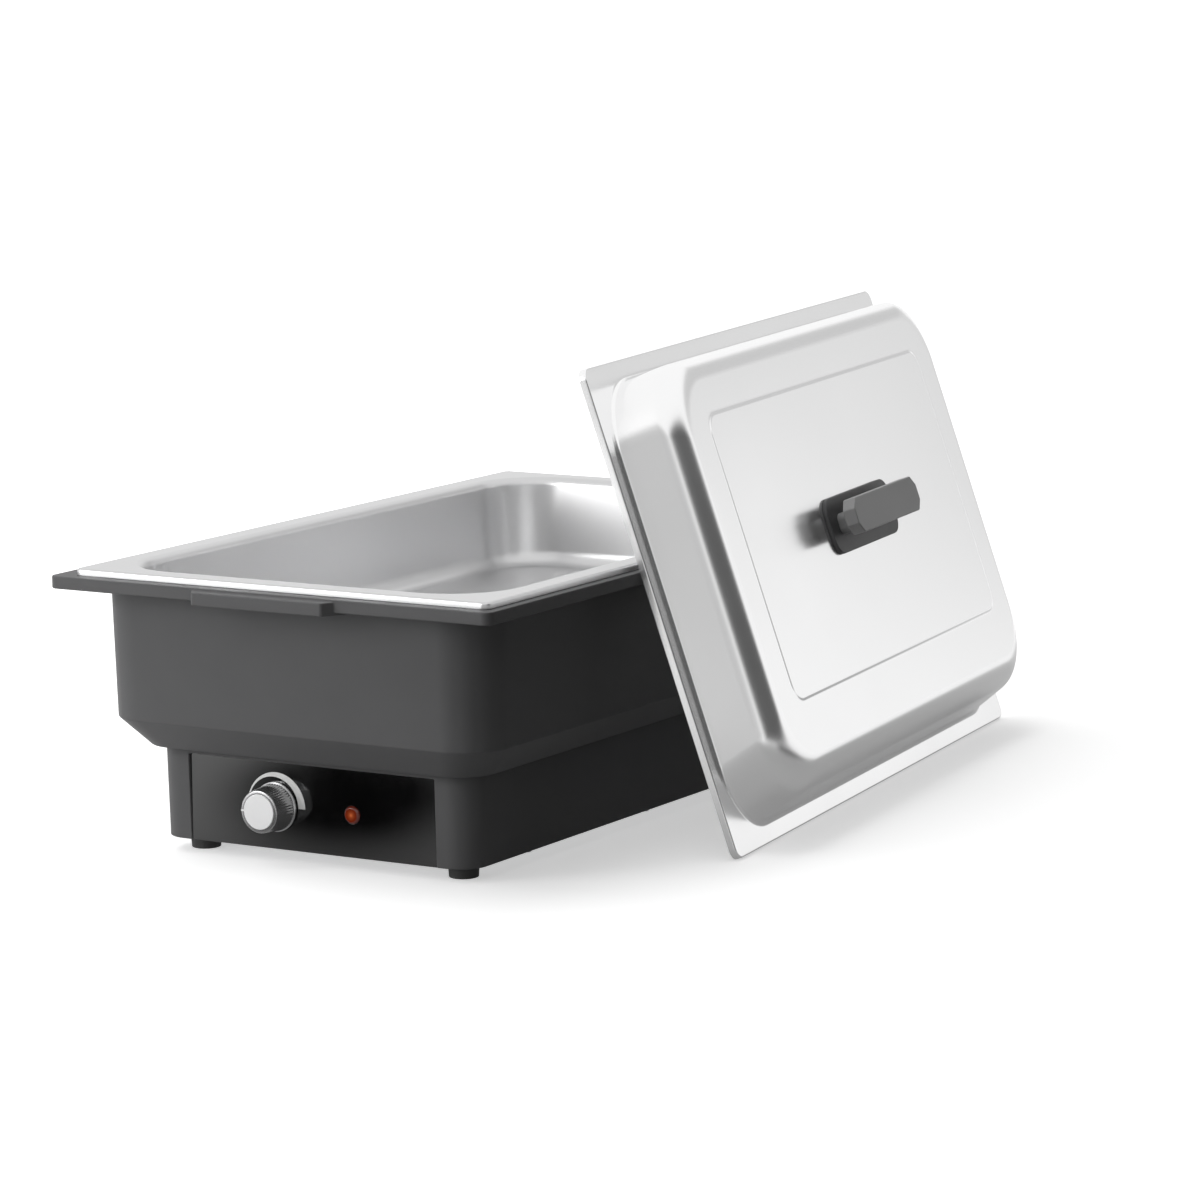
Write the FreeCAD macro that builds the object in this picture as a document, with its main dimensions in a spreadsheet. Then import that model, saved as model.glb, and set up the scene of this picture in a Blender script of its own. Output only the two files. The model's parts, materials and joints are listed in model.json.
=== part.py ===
import FreeCAD
import Part
import Sketcher
import math
import os
import re

# Electric chafing dish, standing on its four feet, with its lid taken off and leant against the right side.
# Millimetres. X runs to the right along the short front, Y to the rear, Z up.
# The origin is on the table, under the middle of the dish.

# Driving dimensions
SIZES = {
    # food pan, the standard full-size gastronorm pan
    "pan_width": 325.0,
    "pan_length": 530.0,
    "pan_corner": 5.0,
    "pan_depth": 65.0,
    "pan_sheet": 0.8,
    "pan_lip": 4.4,
    "pan_clearance": 0.3,
    "pan_rim": 19.5,
    "pan_shift_x": 4.0,
    "pan_shift_y": -2.0,
    "pan_bowl_corner": 44.0,
    "pan_draft": 3.5,
    "pan_floor_round": 12.0,
    # carrying frame and tub of the housing
    "frame_border": 11.0,
    "frame_corner": 6.5,
    "frame_top": 189.5,
    "frame_thickness": 8.5,
    "tub_inset": 22.0,
    "tub_corner": 32.0,
    "tub_draft": 1.4,
    "tub_wall": 3.0,
    "shoulder_top": 92.3,
    "shoulder_bottom": 72.2,
    "shoulder_step": 17.2,
    "shoulder_corner": 26.0,
    "floor_ledge": 20.0,
    # grip lips under the front and rear of the frame
    "grip_width": 122.0,
    "grip_reach": 8.0,
    "grip_slant": 10.0,
    "grip_drop": 1.8,
    "grip_step": 1.5,
    "grip_round": 3.0,
    # lower base
    "base_step": 8.6,
    "base_corner": 20.0,
    "base_draft": 1.0,
    "base_wall": 3.0,
    "base_bottom": 9.5,
    # water tank, its seal and its studs
    "tank_gap": 7.0,
    "tank_rim": 6.0,
    "tank_draft": 3.0,
    "tank_floor": 103.0,
    "tank_sheet": 0.8,
    "tank_floor_round": 8.0,
    "seal_inset": 1.5,
    "seal_thickness": 0.9,
    "rim_pocket_gap": 0.5,
    "stud_radius": 2.5,
    "stud_length": 19.0,
    "stud_inset_x": 11.0,
    "stud_inset_y": 15.0,
    # heating
    "heat_plate_width": 190.0,
    "heat_plate_length": 300.0,
    "heat_plate_thickness": 4.0,
    "element_radius": 3.25,
    "element_bend": 24.0,
    "element_leg": 190.0,
    "element_pin_radius": 2.0,
    "element_pin_length": 34.0,
    "spacer_radius": 5.0,
    "spacer_length": 9.0,
    "tray_border": 7.0,
    "tray_sheet": 0.8,
    "tray_edge": 5.0,
    "tray_window": 12.0,
    "slot_width": 8.0,
    "slot_length": 34.0,
    "slot_y": -142.0,
    "notch_width": 12.0,
    "notch_length": 60.0,
    "notch_y": -155.0,
    "cutout_radius": 8.0,
    "cutout_height": 7.0,
    "cutout_y": -20.0,
    "collar_margin": 2.5,
    "collar_height": 1.2,
    "cutout_blade_x": 4.0,
    "bulb_radius": 3.0,
    "bulb_length": 70.0,
    "bulb_front": -114.0,
    "capillary_radius": 0.8,
    # control panel with its printed scale, lamp and knob
    "panel_width": 195.0,
    "panel_height": 58.4,
    "panel_thickness": 1.2,
    "panel_recess": 1.0,
    "panel_gap": 0.3,
    "panel_backing": 3.0,
    "backing_margin": 7.0,
    "knob_x": -28.5,
    "control_height": 38.2,
    "lamp_x": 32.0,
    "knob_back_radius": 16.7,
    "knob_front_radius": 13.6,
    "knob_length": 19.5,
    "knob_gap": 0.8,
    "knob_flutes": 24.0,
    "flute_depth": 0.8,
    "knob_bore_depth": 14.0,
    "cap_radius": 11.8,
    "cap_depth": 1.2,
    "cap_proud": 0.5,
    "pointer_width": 1.4,
    "pointer_depth": 0.8,
    "scale_radius": 23.0,
    "scale_thin": 0.7,
    "scale_thick": 5.4,
    "print_thickness": 0.15,
    "lens_radius": 6.0,
    "lens_proud": 1.4,
    "lamp_radius": 5.4,
    "lamp_length": 26.0,
    "lamp_collar": 2.0,
    "lamp_blade_x": 3.0,
    "lamp_blade_width": 4.8,
    # thermostat behind the knob
    "thermostat_width": 46.0,
    "thermostat_height": 40.0,
    "thermostat_depth": 26.0,
    "neck_radius": 4.6,
    "shaft_radius": 3.0,
    "shaft_gap": 0.05,
    "shaft_tail": 12.0,
    "thermostat_screw_spread": 11.5,
    "thermostat_blade_x": 12.0,
    "thermostat_blade_rise": 12.0,
    "thermostat_screw_reach": 6.0,
    "shaft_flat_cut": 0.8,
    "capillary_exit": 13.0,
    "capillary_rise": 8.0,
    "capillary_bend": 4.0,
    # fasteners
    "screw_radius": 2.0,
    "screw_head_radius": 3.6,
    "screw_head_height": 2.2,
    "screw_gap": 0.2,
    "drill_length": 20.0,
    "boss_radius": 5.0,
    "corner_boss_inset_x": 10.25,
    "corner_boss_inset_y": 9.7,
    "middle_boss_inset": 7.15,
    "housing_boss_bottom": 50.0,
    "housing_boss_seat": 60.0,
    "housing_boss_rise": 14.0,
    "plate_boss_height": 15.0,
    "plate_boss_y": 150.0,
    "plate_boss_inset": 0.3,
    "nut_height": 3.2,
    "nut_radius": 4.2,
    "tank_nut_margin": 0.4,
    # bottom plate and feet
    "plate_thickness": 1.2,
    "plate_gap": 0.4,
    "plate_setback": 0.5,
    "vent_length": 60.0,
    "vent_width": 5.0,
    "vent_pitch": 14.0,
    "vent_offset": 46.0,
    "foot_inset_x": 22.4,
    "foot_inset_y": 24.8,
    "foot_radius": 10.5,
    "foot_flare": 0.7,
    "foot_recess": 3.5,
    # mains lead gland at the rear, and the wiring block
    "gland_x": -62.0,
    "gland_bore": 3.6,
    "gland_sleeve": 7.9,
    "gland_flange": 11.0,
    "gland_flange_thickness": 5.0,
    "gland_nose": 16.0,
    "gland_tip": 6.2,
    "gland_inner_length": 14.0,
    "gland_shelf": 2.0,
    "gland_nut_margin": 1.0,
    "gland_nut_height": 5.0,
    "gland_nut_gap": 0.6,
    "block_width": 40.0,
    "block_length": 17.0,
    "block_height": 18.0,
    "block_x": 6.0,
    "block_inset": 32.2,
    "way_spacing": 12.0,
    "way_height": 7.0,
    "way_play": 0.4,
    "way_screw_radius": 2.2,
    "way_screw_height": 11.0,
    "wire_radius": 1.2,
    "wire_bend": 4.0,
    "wire_gap": 0.6,
    "wire_start": 2.0,
    "wire_high": 62.0,
    "wire_middle": 55.0,
    "wire_low": 40.0,
    "blade_thickness": 0.8,
    "blade_width": 6.3,
    "blade_length": 8.0,
    # lid
    "lid_overlap": 6.5,
    "lid_corner": 8.0,
    "lid_sheet": 0.8,
    "lid_skirt": 5.0,
    "flange_strip": 14.0,
    "dome_height": 45.0,
    "dome_corner": 48.0,
    "dome_run": 8.0,
    "dome_round": 16.0,
    "dome_lean": 9.5,
    "field_length": 407.0,
    "field_width": 197.0,
    "field_corner": 12.0,
    "field_rise": 1.4,
    "field_bevel": 3.0,
    "field_shift": 15.5,
    "lid_turn": 8.32,
    "lid_slope": 18.31,
    "lid_along": 177.4,
    "lid_clearance": 0.5,
    # lid handle
    "handle_plate_length": 123.0,
    "handle_plate_width": 39.0,
    "handle_plate_corner": 9.0,
    "handle_plate_thickness": 5.0,
    "grip_gap": 9.5,
    "bar_length": 122.0,
    "bar_width": 25.0,
    "bar_thickness": 10.0,
    "bar_corner": 6.5,
    "bar_bevel": 3.0,
    "post_length": 20.0,
    "post_width": 15.0,
    "post_spread": 78.0,
    "handle_screw_radius": 2.5,
    "handle_screw_depth": 14.0,
    "washer_radius": 7.0,
    "washer_thickness": 1.0,
}

# Sizes that follow from others
FOLLOWS = {
    "pan_bowl_width": "pan_width - 2 * pan_rim",
    "pan_bowl_length": "pan_length - 2 * pan_rim",
    "frame_width": "pan_width + 2 * frame_border",
    "frame_length": "pan_length + 2 * frame_border",
    "grip_height": "frame_thickness + grip_drop - grip_step",
    "tub_width": "frame_width - 2 * tub_inset",
    "tub_length": "frame_length - 2 * tub_inset",
    "shoulder_width": "tub_width - 2 * shoulder_step",
    "shoulder_length": "tub_length - 2 * shoulder_step",
    "base_width": "shoulder_width - 2 * base_step",
    "base_length": "shoulder_length - 2 * base_step",
    "shoulder_floor_width": "base_width - 2 * floor_ledge",
    "shoulder_floor_length": "base_length - 2 * floor_ledge",
    "tank_width": "pan_bowl_width + 2 * tank_gap",
    "tank_length": "pan_bowl_length + 2 * tank_gap",
    "tank_corner": "tub_corner",
    "tank_rim_width": "tank_width + 2 * tank_rim",
    "tank_rim_length": "tank_length + 2 * tank_rim",
    "tank_rim_corner": "tank_corner + tank_rim",
    "tray_width": "heat_plate_width + 2 * tray_border",
    "tray_length": "heat_plate_length + 2 * tray_border",
    "stud_x": "heat_plate_width / 2 - stud_inset_x",
    "stud_y": "heat_plate_length / 2 - stud_inset_y",
    "corner_boss_x": "base_width / 2 - corner_boss_inset_x",
    "corner_boss_y": "base_length / 2 - corner_boss_inset_y",
    "middle_boss_x": "base_width / 2 - middle_boss_inset",
    "foot_x": "base_width / 2 - foot_inset_x",
    "foot_y": "base_length / 2 - foot_inset_y",
    "block_y": "base_length / 2 - block_inset",
    "lid_length": "pan_length + 2 * lid_overlap",
    "lid_width": "pan_width + 2 * lid_overlap",
}

document = FreeCAD.newDocument("ElectricChafingDish")
sheet = document.addObject("Spreadsheet::Sheet", "Sizes")
for row, (alias, value) in enumerate(SIZES.items(), start=1):
    sheet.set(f"A{row}", alias)
    sheet.set(f"B{row}", str(value))
    sheet.setAlias(f"B{row}", alias)
document.recompute()

PARTS = []
VECTOR = FreeCAD.Vector


# Expressions

def formula(text):
    """Points each alias in an expression at its cell and writes out each size that follows from others."""
    def written_out(match):
        word = match.group(0)
        if word in FOLLOWS:
            return f"({formula(FOLLOWS[word])})"
        return "Sizes." + word if word in SIZES else word

    return re.sub(r"[a-z][a-z_]+", written_out, str(text))


def number(text):
    """The value of an expression, in millimetres or degrees."""
    return float(sheet.evalExpression(formula(text)))


def bind(thing, **formulas):
    """Ties properties of an object to expressions; a dot in a path is written as two underscores."""
    for path, text in formulas.items():
        thing.setExpression(path.replace("__", "."), formula(text))
    return thing


def place(thing, x="0", y="0", z="0"):
    """Ties an object's place to expressions."""
    return bind(thing, Placement__Base__x=x, Placement__Base__y=y, Placement__Base__z=z)


# Sketches on a body's own XY plane, raised to a level

def new_sketch(body, name, level="0", shift="0"):
    sketch = body.newObject("Sketcher::SketchObject", name)
    plane = [feature for feature in body.Origin.OriginFeatures if feature.Role == "XY_Plane"][0]
    sketch.AttachmentSupport = [(plane, "")]
    sketch.MapMode = "FlatFace"
    bind(sketch, AttachmentOffset__Base__z=level, AttachmentOffset__Base__y=shift)
    return sketch


def measure(sketch, name, constraint, text):
    """Adds a named dimension that follows an expression."""
    index = sketch.addConstraint(constraint)
    sketch.renameConstraint(index, name)
    sketch.setExpression("Constraints." + name, formula(text))


def rounded_outline(body, name, width, length, radius, level="0", shift="0"):
    """A rectangle with round corners, centred on the body's axis."""
    sketch = new_sketch(body, name, level, shift)
    half_x, half_y, round_ = number(width) / 2, number(length) / 2, number(radius)
    in_x, in_y = half_x - round_, half_y - round_
    sides = [
        ((-in_x, -half_y), (in_x, -half_y)),
        ((half_x, -in_y), (half_x, in_y)),
        ((in_x, half_y), (-in_x, half_y)),
        ((-half_x, in_y), (-half_x, -in_y)),
    ]
    corners = [(in_x, -in_y), (in_x, in_y), (-in_x, in_y), (-in_x, -in_y)]
    quarter = math.pi / 2
    for start, end in sides:
        sketch.addGeometry(Part.LineSegment(VECTOR(*start, 0), VECTOR(*end, 0)), False)
    for turns, (x, y) in enumerate(corners, start=-1):
        circle = Part.Circle(VECTOR(x, y, 0), VECTOR(0, 0, 1), round_)
        sketch.addGeometry(Part.ArcOfCircle(circle, turns * quarter, (turns + 1) * quarter), False)
    for side in range(4):
        sketch.addConstraint(Sketcher.Constraint("Tangent", side, 2, 4 + side, 1))
        sketch.addConstraint(Sketcher.Constraint("Tangent", 4 + side, 2, (side + 1) % 4, 1))
    for side, direction in enumerate(("Horizontal", "Vertical", "Horizontal", "Vertical")):
        sketch.addConstraint(Sketcher.Constraint(direction, side))
    for corner in (5, 6, 7):
        sketch.addConstraint(Sketcher.Constraint("Equal", 4, corner))
    measure(sketch, "corner", Sketcher.Constraint("Radius", 4, round_), radius)
    measure(sketch, "right", Sketcher.Constraint("DistanceX", -1, 1, 1, 1, half_x), f"({width}) / 2")
    measure(sketch, "left", Sketcher.Constraint("DistanceX", 3, 1, -1, 1, half_x), f"({width}) / 2")
    measure(sketch, "front", Sketcher.Constraint("DistanceY", 0, 1, -1, 1, half_y), f"({length}) / 2")
    measure(sketch, "rear", Sketcher.Constraint("DistanceY", -1, 1, 2, 1, half_y), f"({length}) / 2")
    return sketch


def polygon_outline(body, name, corners, level="0"):
    """A closed outline through corners, each a pair of expressions measured from the axis."""
    sketch = new_sketch(body, name, level)
    points = [VECTOR(number(x), number(y), 0) for x, y in corners]
    count = len(points)
    for side in range(count):
        sketch.addGeometry(Part.LineSegment(points[side], points[(side + 1) % count]), False)
    for side in range(count):
        sketch.addConstraint(Sketcher.Constraint("Coincident", side, 2, (side + 1) % count, 1))
    for side, (x, y) in enumerate(corners):
        for axis, text, place_ in (("DistanceX", x, points[side].x), ("DistanceY", y, points[side].y)):
            if place_ >= 0:
                constraint = Sketcher.Constraint(axis, -1, 1, side, 1, place_)
                measure(sketch, f"{axis}_{side}", constraint, text)
            else:
                constraint = Sketcher.Constraint(axis, side, 1, -1, 1, -place_)
                measure(sketch, f"{axis}_{side}", constraint, f"-({text})")
    return sketch


# Solids

def new_body(name):
    return document.addObject("PartDesign::Body", name)


def pad(body, sketch, height, taper="0"):
    """Raises a sketch; a positive taper draws the walls inwards with height."""
    feature = body.newObject("PartDesign::Pad", sketch.Name + "_pad")
    feature.Profile = sketch
    bind(feature, Length=height, TaperAngle=f"-({taper})")
    sketch.Visibility = False
    document.recompute()
    return feature


def round_edges(body, feature, radius, chosen):
    """Rounds the edges that a test picks."""
    names = [f"Edge{i}" for i, edge in enumerate(feature.Shape.Edges, start=1) if chosen(edge)]
    rounded = body.newObject("PartDesign::Fillet", feature.Name + "_round")
    rounded.Base = (feature, names)
    bind(rounded, Radius=radius)
    document.recompute()
    return rounded


def at_level(level):
    """Tests whether an edge lies in one level plane."""
    height = number(level)
    return lambda edge: all(abs(vertex.Z - height) < 1e-6 for vertex in edge.Vertexes)


def slab(name, width, length, radius, level, height, taper="0"):
    """An upright block with round corners."""
    body = new_body(name)
    pad(body, rounded_outline(body, name + "_outline", width, length, radius, level), height, taper)
    return body


def bowl(name, width, length, radius, top, depth, draft, floor_round):
    """A block that narrows downwards to a rounded floor; its outline is given at the top."""
    body = new_body(name)
    narrow = f"2 * ({depth}) * tan({draft})"
    sketch = rounded_outline(
        body, name + "_floor", f"{width} - {narrow}", f"{length} - {narrow}",
        f"{radius} - {narrow} / 2", f"{top} - ({depth})",
    )
    block = pad(body, sketch, depth, f"-({draft})")
    round_edges(body, block, floor_round, at_level(f"{top} - ({depth})"))
    return body


def frustum(name, lower, upper):
    """A block between two rounded outlines, each a width, length, radius and level."""
    body = new_body(name)
    below = rounded_outline(body, name + "_lower", *lower)
    above = rounded_outline(body, name + "_upper", *upper)
    loft = body.newObject("PartDesign::AdditiveLoft", name + "_loft")
    loft.Profile = below
    loft.Sections = [above]
    loft.Ruled = True
    document.recompute()
    return body


def cylinder(name, radius, height, x="0", y="0", z="0"):
    shape = document.addObject("Part::Cylinder", name)
    bind(shape, Radius=radius, Height=height)
    return place(shape, x, y, z)


def cone(name, lower, upper, height, x="0", y="0", z="0"):
    shape = document.addObject("Part::Cone", name)
    bind(shape, Radius1=lower, Radius2=upper, Height=height)
    return place(shape, x, y, z)


def box(name, width, length, height, x="0", y="0", z="0"):
    """A box centred in X and Y on its place, standing on its level."""
    shape = document.addObject("Part::Box", name)
    bind(shape, Length=width, Width=length, Height=height)
    return place(shape, f"{x} - ({width}) / 2", f"{y} - ({length}) / 2", z)


def hexagon(name, radius, height, x="0", y="0", z="0"):
    shape = document.addObject("Part::Prism", name)
    shape.Polygon = 6
    bind(shape, Circumradius=radius, Height=height)
    return place(shape, x, y, z)


def join(name, pieces):
    fused = document.addObject("Part::MultiFuse", name)
    fused.Shapes = pieces
    document.recompute()
    return fused


def cut(name, base, tools):
    tool = tools[0] if len(tools) == 1 else join(name + "_tools", tools)
    result = document.addObject("Part::Cut", name)
    result.Base = base
    result.Tool = tool
    document.recompute()
    return result


def group(name, pieces):
    """Separate solids that share one node."""
    compound = document.addObject("Part::Compound", name)
    compound.Links = pieces
    document.recompute()
    return compound


def keep(label, shape):
    """Names a finished sub-part, which names its file."""
    shape.Label = label
    PARTS.append(shape)
    return shape


OUT_OF_FRONT = FreeCAD.Rotation(VECTOR(1, 0, 0), 90)
OUT_OF_REAR = FreeCAD.Rotation(VECTOR(0, 0, 1), 180).multiply(OUT_OF_FRONT)


def facing_front(shape, x, y, z):
    """Turns local Z out of the front and local Y up, at a place."""
    shape.Placement.Rotation = OUT_OF_FRONT
    return place(shape, x, y, z)


def facing_rear(shape, x, y, z):
    """Turns local Z out of the rear and local Y up, at a place."""
    shape.Placement.Rotation = OUT_OF_REAR
    return place(shape, x, y, z)


def both_ways(x, y):
    """The four places at plus and minus x and y."""
    return [(a, b) for a in (f"-({x})", x) for b in (f"-({y})", y)]


# Levels and planes that several pieces share
FRAME_BOTTOM = "frame_top - frame_thickness"
PAN_TOP = "frame_top + pan_clearance + pan_lip"
RIM_POCKET = "frame_top - tank_sheet - seal_thickness - rim_pocket_gap"
TANK_TOP = "frame_top - rim_pocket_gap"
TANK_UNDER = "tank_floor - tank_sheet"
HEAT_UNDER = "tank_floor - tank_sheet - heat_plate_thickness"
TRAY_TOP = "tank_floor - tank_sheet - heat_plate_thickness - spacer_length"
TRAY_UNDER = "tank_floor - tank_sheet - heat_plate_thickness - spacer_length - tray_sheet"
BASE_HEIGHT = "shoulder_bottom - base_bottom"
FRONT_PLANE = "(base_length / 2 - (shoulder_bottom - base_bottom) * tan(base_draft))"
PANEL_FACE = f"-({FRONT_PLANE} - panel_recess)"
PANEL_BACK = f"-({FRONT_PLANE} - panel_recess - panel_thickness)"
WALL_BACK = f"-({FRONT_PLANE} - panel_recess - panel_thickness - panel_backing)"
PLATE_UNDER = "base_bottom + plate_setback"
PLATE_TOP = "base_bottom + plate_setback + plate_thickness"
REAR_INNER = f"({FRONT_PLANE} - base_wall)"
GLAND_SEAT = "base_length / 2 - (shoulder_bottom - control_height - gland_flange) * tan(base_draft) - base_wall"


# Housing

def grip_lip(name, side):
    """A finger grip with slanted ends, under the frame at the front (side -1) or the rear (side 1)."""
    body = new_body(name)
    edge = f"{side} * (frame_length / 2 - grip_reach)"
    reach = f"{side} * (frame_length / 2 + grip_reach)"
    corners = [
        ("-(grip_width / 2)", edge),
        ("grip_width / 2", edge),
        ("grip_width / 2 - grip_slant", reach),
        ("-(grip_width / 2 - grip_slant)", reach),
    ]
    sketch = polygon_outline(body, name + "_outline", corners, f"{FRAME_BOTTOM} - grip_drop")
    block = pad(body, sketch, "grip_height")
    front = number("frame_length / 2")

    def outer_upright(edge):
        """Tests for the upright edges in front of the frame."""
        low, high = [vertex.Point for vertex in edge.Vertexes]
        return abs(low.y) > front and math.hypot(low.x - high.x, low.y - high.y) < 1e-6

    round_edges(body, block, "grip_round", outer_upright)
    return body


HOUSING_BOSSES = both_ways("corner_boss_x", "corner_boss_y") + [("-middle_boss_x", "0"),
                                                                ("middle_boss_x", "0")]


def upper_housing():
    """The one-piece plastic frame, tub and shoulder."""
    tub_height = f"{FRAME_BOTTOM} - shoulder_top"
    tub = slab("tub", "tub_width", "tub_length", "tub_corner", "shoulder_top", tub_height, "-(tub_draft)")
    frame = slab("frame", "frame_width", "frame_length", "frame_corner", FRAME_BOTTOM, "frame_thickness")
    shoulder = frustum(
        "shoulder",
        ("shoulder_width", "shoulder_length", "shoulder_corner", "shoulder_bottom"),
        ("tub_width", "tub_length", "tub_corner", "shoulder_top"),
    )
    tub_room = slab(
        "tub_room", "tub_width - 2 * tub_wall", "tub_length - 2 * tub_wall", "tub_corner - tub_wall",
        "shoulder_top", "frame_top + 1 - shoulder_top", "-(tub_draft)",
    )
    shoulder_room = frustum(
        "shoulder_room",
        ("shoulder_width - 2 * tub_wall", "shoulder_length - 2 * tub_wall", "shoulder_corner - tub_wall",
         "shoulder_bottom + tub_wall"),
        ("tub_width - 2 * tub_wall", "tub_length - 2 * tub_wall", "tub_corner - tub_wall", "shoulder_top"),
    )
    floor_hole = slab(
        "floor_hole", "shoulder_floor_width", "shoulder_floor_length", "base_corner",
        "shoulder_bottom - 1", "tub_wall + 2",
    )
    rim_pocket = slab(
        "rim_pocket", "tank_rim_width + 2 * rim_pocket_gap", "tank_rim_length + 2 * rim_pocket_gap",
        "tank_rim_corner", RIM_POCKET, f"frame_top + 1 - ({RIM_POCKET})",
    )
    shell = join("housing_outside", [frame, tub, shoulder, grip_lip("front_grip", -1),
                                     grip_lip("rear_grip", 1)])
    hollow = cut("housing_hollow", shell, [tub_room, shoulder_room, floor_hole, rim_pocket])
    bosses = [
        cylinder(f"housing_boss_{i}", "boss_radius", "tub_wall + housing_boss_rise", x, y, "shoulder_bottom")
        for i, (x, y) in enumerate(HOUSING_BOSSES)
    ]
    pilots = [
        cylinder(f"housing_pilot_{i}", "screw_radius", "housing_boss_rise + 1", x, y, "shoulder_bottom - 1")
        for i, (x, y) in enumerate(HOUSING_BOSSES)
    ]
    keep("upper_housing", cut("upper_housing", join("housing_with_bosses", [hollow] + bosses), pilots))


PLATE_BOSSES = [
    (f"{side} * (base_width / 2 - base_wall - boss_radius - plate_boss_inset)", y)
    for side in (-1, 1) for y in ("-plate_boss_y", "0", "plate_boss_y")
]


def lower_base():
    """The narrower base below the shoulder, open at the top and the bottom, with the panel's recess."""
    def tapered(name, inset, low, high):
        """The base's outline, set in by a distance, between two levels."""
        return slab(
            name,
            f"base_width - 2 * (shoulder_bottom - ({low})) * tan(base_draft) - 2 * ({inset})",
            f"base_length - 2 * (shoulder_bottom - ({low})) * tan(base_draft) - 2 * ({inset})",
            f"base_corner - (shoulder_bottom - ({low})) * tan(base_draft) - ({inset})",
            low, f"{high} - ({low})", "-(base_draft)",
        )

    outside = tapered("base_outside", "0", "base_bottom", "shoulder_bottom")
    room = tapered("base_room", "base_wall", "base_bottom - 1", "shoulder_bottom + 1")
    walls = cut("base_walls", outside, [room])
    backing = box(
        "panel_backing", "panel_width + 2 * backing_margin",
        "panel_recess + panel_thickness + panel_backing - 1",
        BASE_HEIGHT,
        "0", f"-({FRONT_PLANE}) + 1 + (panel_recess + panel_thickness + panel_backing - 1) / 2",
        "base_bottom",
    )
    bosses = []
    holes = []
    for i, (x, y) in enumerate(HOUSING_BOSSES):
        bosses.append(cylinder(
            f"hanging_boss_{i}", "boss_radius", "shoulder_bottom - housing_boss_bottom", x, y,
            "housing_boss_bottom"))
        holes.append(cylinder(
            f"hanging_hole_{i}", "screw_radius + screw_gap", BASE_HEIGHT, x, y, "housing_boss_bottom"))
        holes.append(cylinder(
            f"hanging_seat_{i}", "screw_head_radius + screw_gap",
            "housing_boss_seat - housing_boss_bottom + 1",
            x, y, "housing_boss_bottom - 1"))
    for i, (x, y) in enumerate(PLATE_BOSSES):
        bosses.append(cylinder(f"plate_boss_{i}", "boss_radius", "plate_boss_height", x, y, PLATE_TOP))
        holes.append(cylinder(f"plate_pilot_{i}", "screw_radius", "plate_boss_height - 2", x, y, PLATE_TOP))
    recess = box(
        "panel_recess_cut", "panel_width + 2 * panel_gap", "panel_recess + panel_thickness + 4",
        "panel_height + panel_gap + 1",
        "0", f"-({FRONT_PLANE}) + (panel_recess + panel_thickness - 4) / 2", "base_bottom - 1",
    )
    through_front = [
        ("neck_hole", "neck_radius + screw_gap", "knob_x"),
        ("lamp_hole", "lamp_radius + screw_gap", "lamp_x"),
        ("left_screw_hole", "screw_radius + screw_gap", "knob_x - thermostat_screw_spread"),
        ("right_screw_hole", "screw_radius + screw_gap", "knob_x + thermostat_screw_spread"),
    ]
    for name, radius, x in through_front:
        holes.append(facing_front(cylinder(name, radius, "drill_length"), x, f"{WALL_BACK} + 8",
                                  "control_height"))
    gland_hole = cylinder("gland_hole", "gland_sleeve + screw_gap", "drill_length")
    holes.append(facing_rear(gland_hole, "gland_x", f"{REAR_INNER} - 8", "control_height"))
    solid = join("base_solid", [walls, backing] + bosses)
    tools = holes + [recess]
    keep("lower_base", cut("lower_base", solid, tools))


def housing_screws():
    screws = []
    for i, (x, y) in enumerate(HOUSING_BOSSES):
        head = cylinder(
            f"housing_head_{i}", "screw_head_radius", "screw_head_height", x, y,
            "housing_boss_seat - screw_head_height")
        length = "shoulder_bottom + housing_boss_rise - 4 - housing_boss_seat"
        shank = cylinder(f"housing_shank_{i}", "screw_radius", length, x, y, "housing_boss_seat")
        screws.append(join(f"housing_screw_{i}", [head, shank]))
    keep("housing_screws", group("housing_screws", screws))


# Bottom plate, its screws and the feet

def bottom_plate():
    """The steel plate that closes the base, with a field of vent slots."""
    low = f"(shoulder_bottom - ({PLATE_UNDER})) * tan(base_draft) + base_wall + plate_gap"
    plate = slab(
        "plate_blank", f"base_width - 2 * ({low})", f"base_length - 2 * ({low})", f"base_corner - ({low})",
        PLATE_UNDER, "plate_thickness",
    )
    front_cut = box(
        "plate_front_cut", "base_width", "panel_backing + panel_thickness + panel_recess + 2 * plate_gap",
        "drill_length", "0",
        f"-({FRONT_PLANE}) + (panel_backing + panel_thickness + panel_recess + 2 * plate_gap) / 2",
        "base_bottom - 2",
    )
    holes = [front_cut]
    for i, (x, y) in enumerate(PLATE_BOSSES):
        holes.append(cylinder(f"plate_hole_{i}", "screw_radius + screw_gap", "drill_length", x, y, "0"))
    for i, (x, y) in enumerate(both_ways("foot_x", "foot_y")):
        holes.append(cylinder(f"foot_hole_{i}", "screw_radius + screw_gap", "drill_length", x, y, "0"))
    for bank, side in enumerate((-1, 1)):
        for i in range(7):
            holes.append(box(
                f"vent_{bank}_{i}", "vent_length", "vent_width", "drill_length",
                f"{side} * vent_offset", f"({i} - 3) * vent_pitch", "0"))
    keep("bottom_plate", cut("bottom_plate", plate, holes))


def bottom_screws():
    screws = []
    for i, (x, y) in enumerate(PLATE_BOSSES):
        head = cylinder(
            f"bottom_head_{i}", "screw_head_radius", "screw_head_height", x, y,
            f"{PLATE_UNDER} - screw_head_height")
        shank = cylinder(
            f"bottom_shank_{i}", "screw_radius", "plate_thickness + plate_boss_height - 5", x, y, PLATE_UNDER)
        screws.append(join(f"bottom_screw_{i}", [head, shank]))
    keep("bottom_screws", group("bottom_screws", screws))


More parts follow.
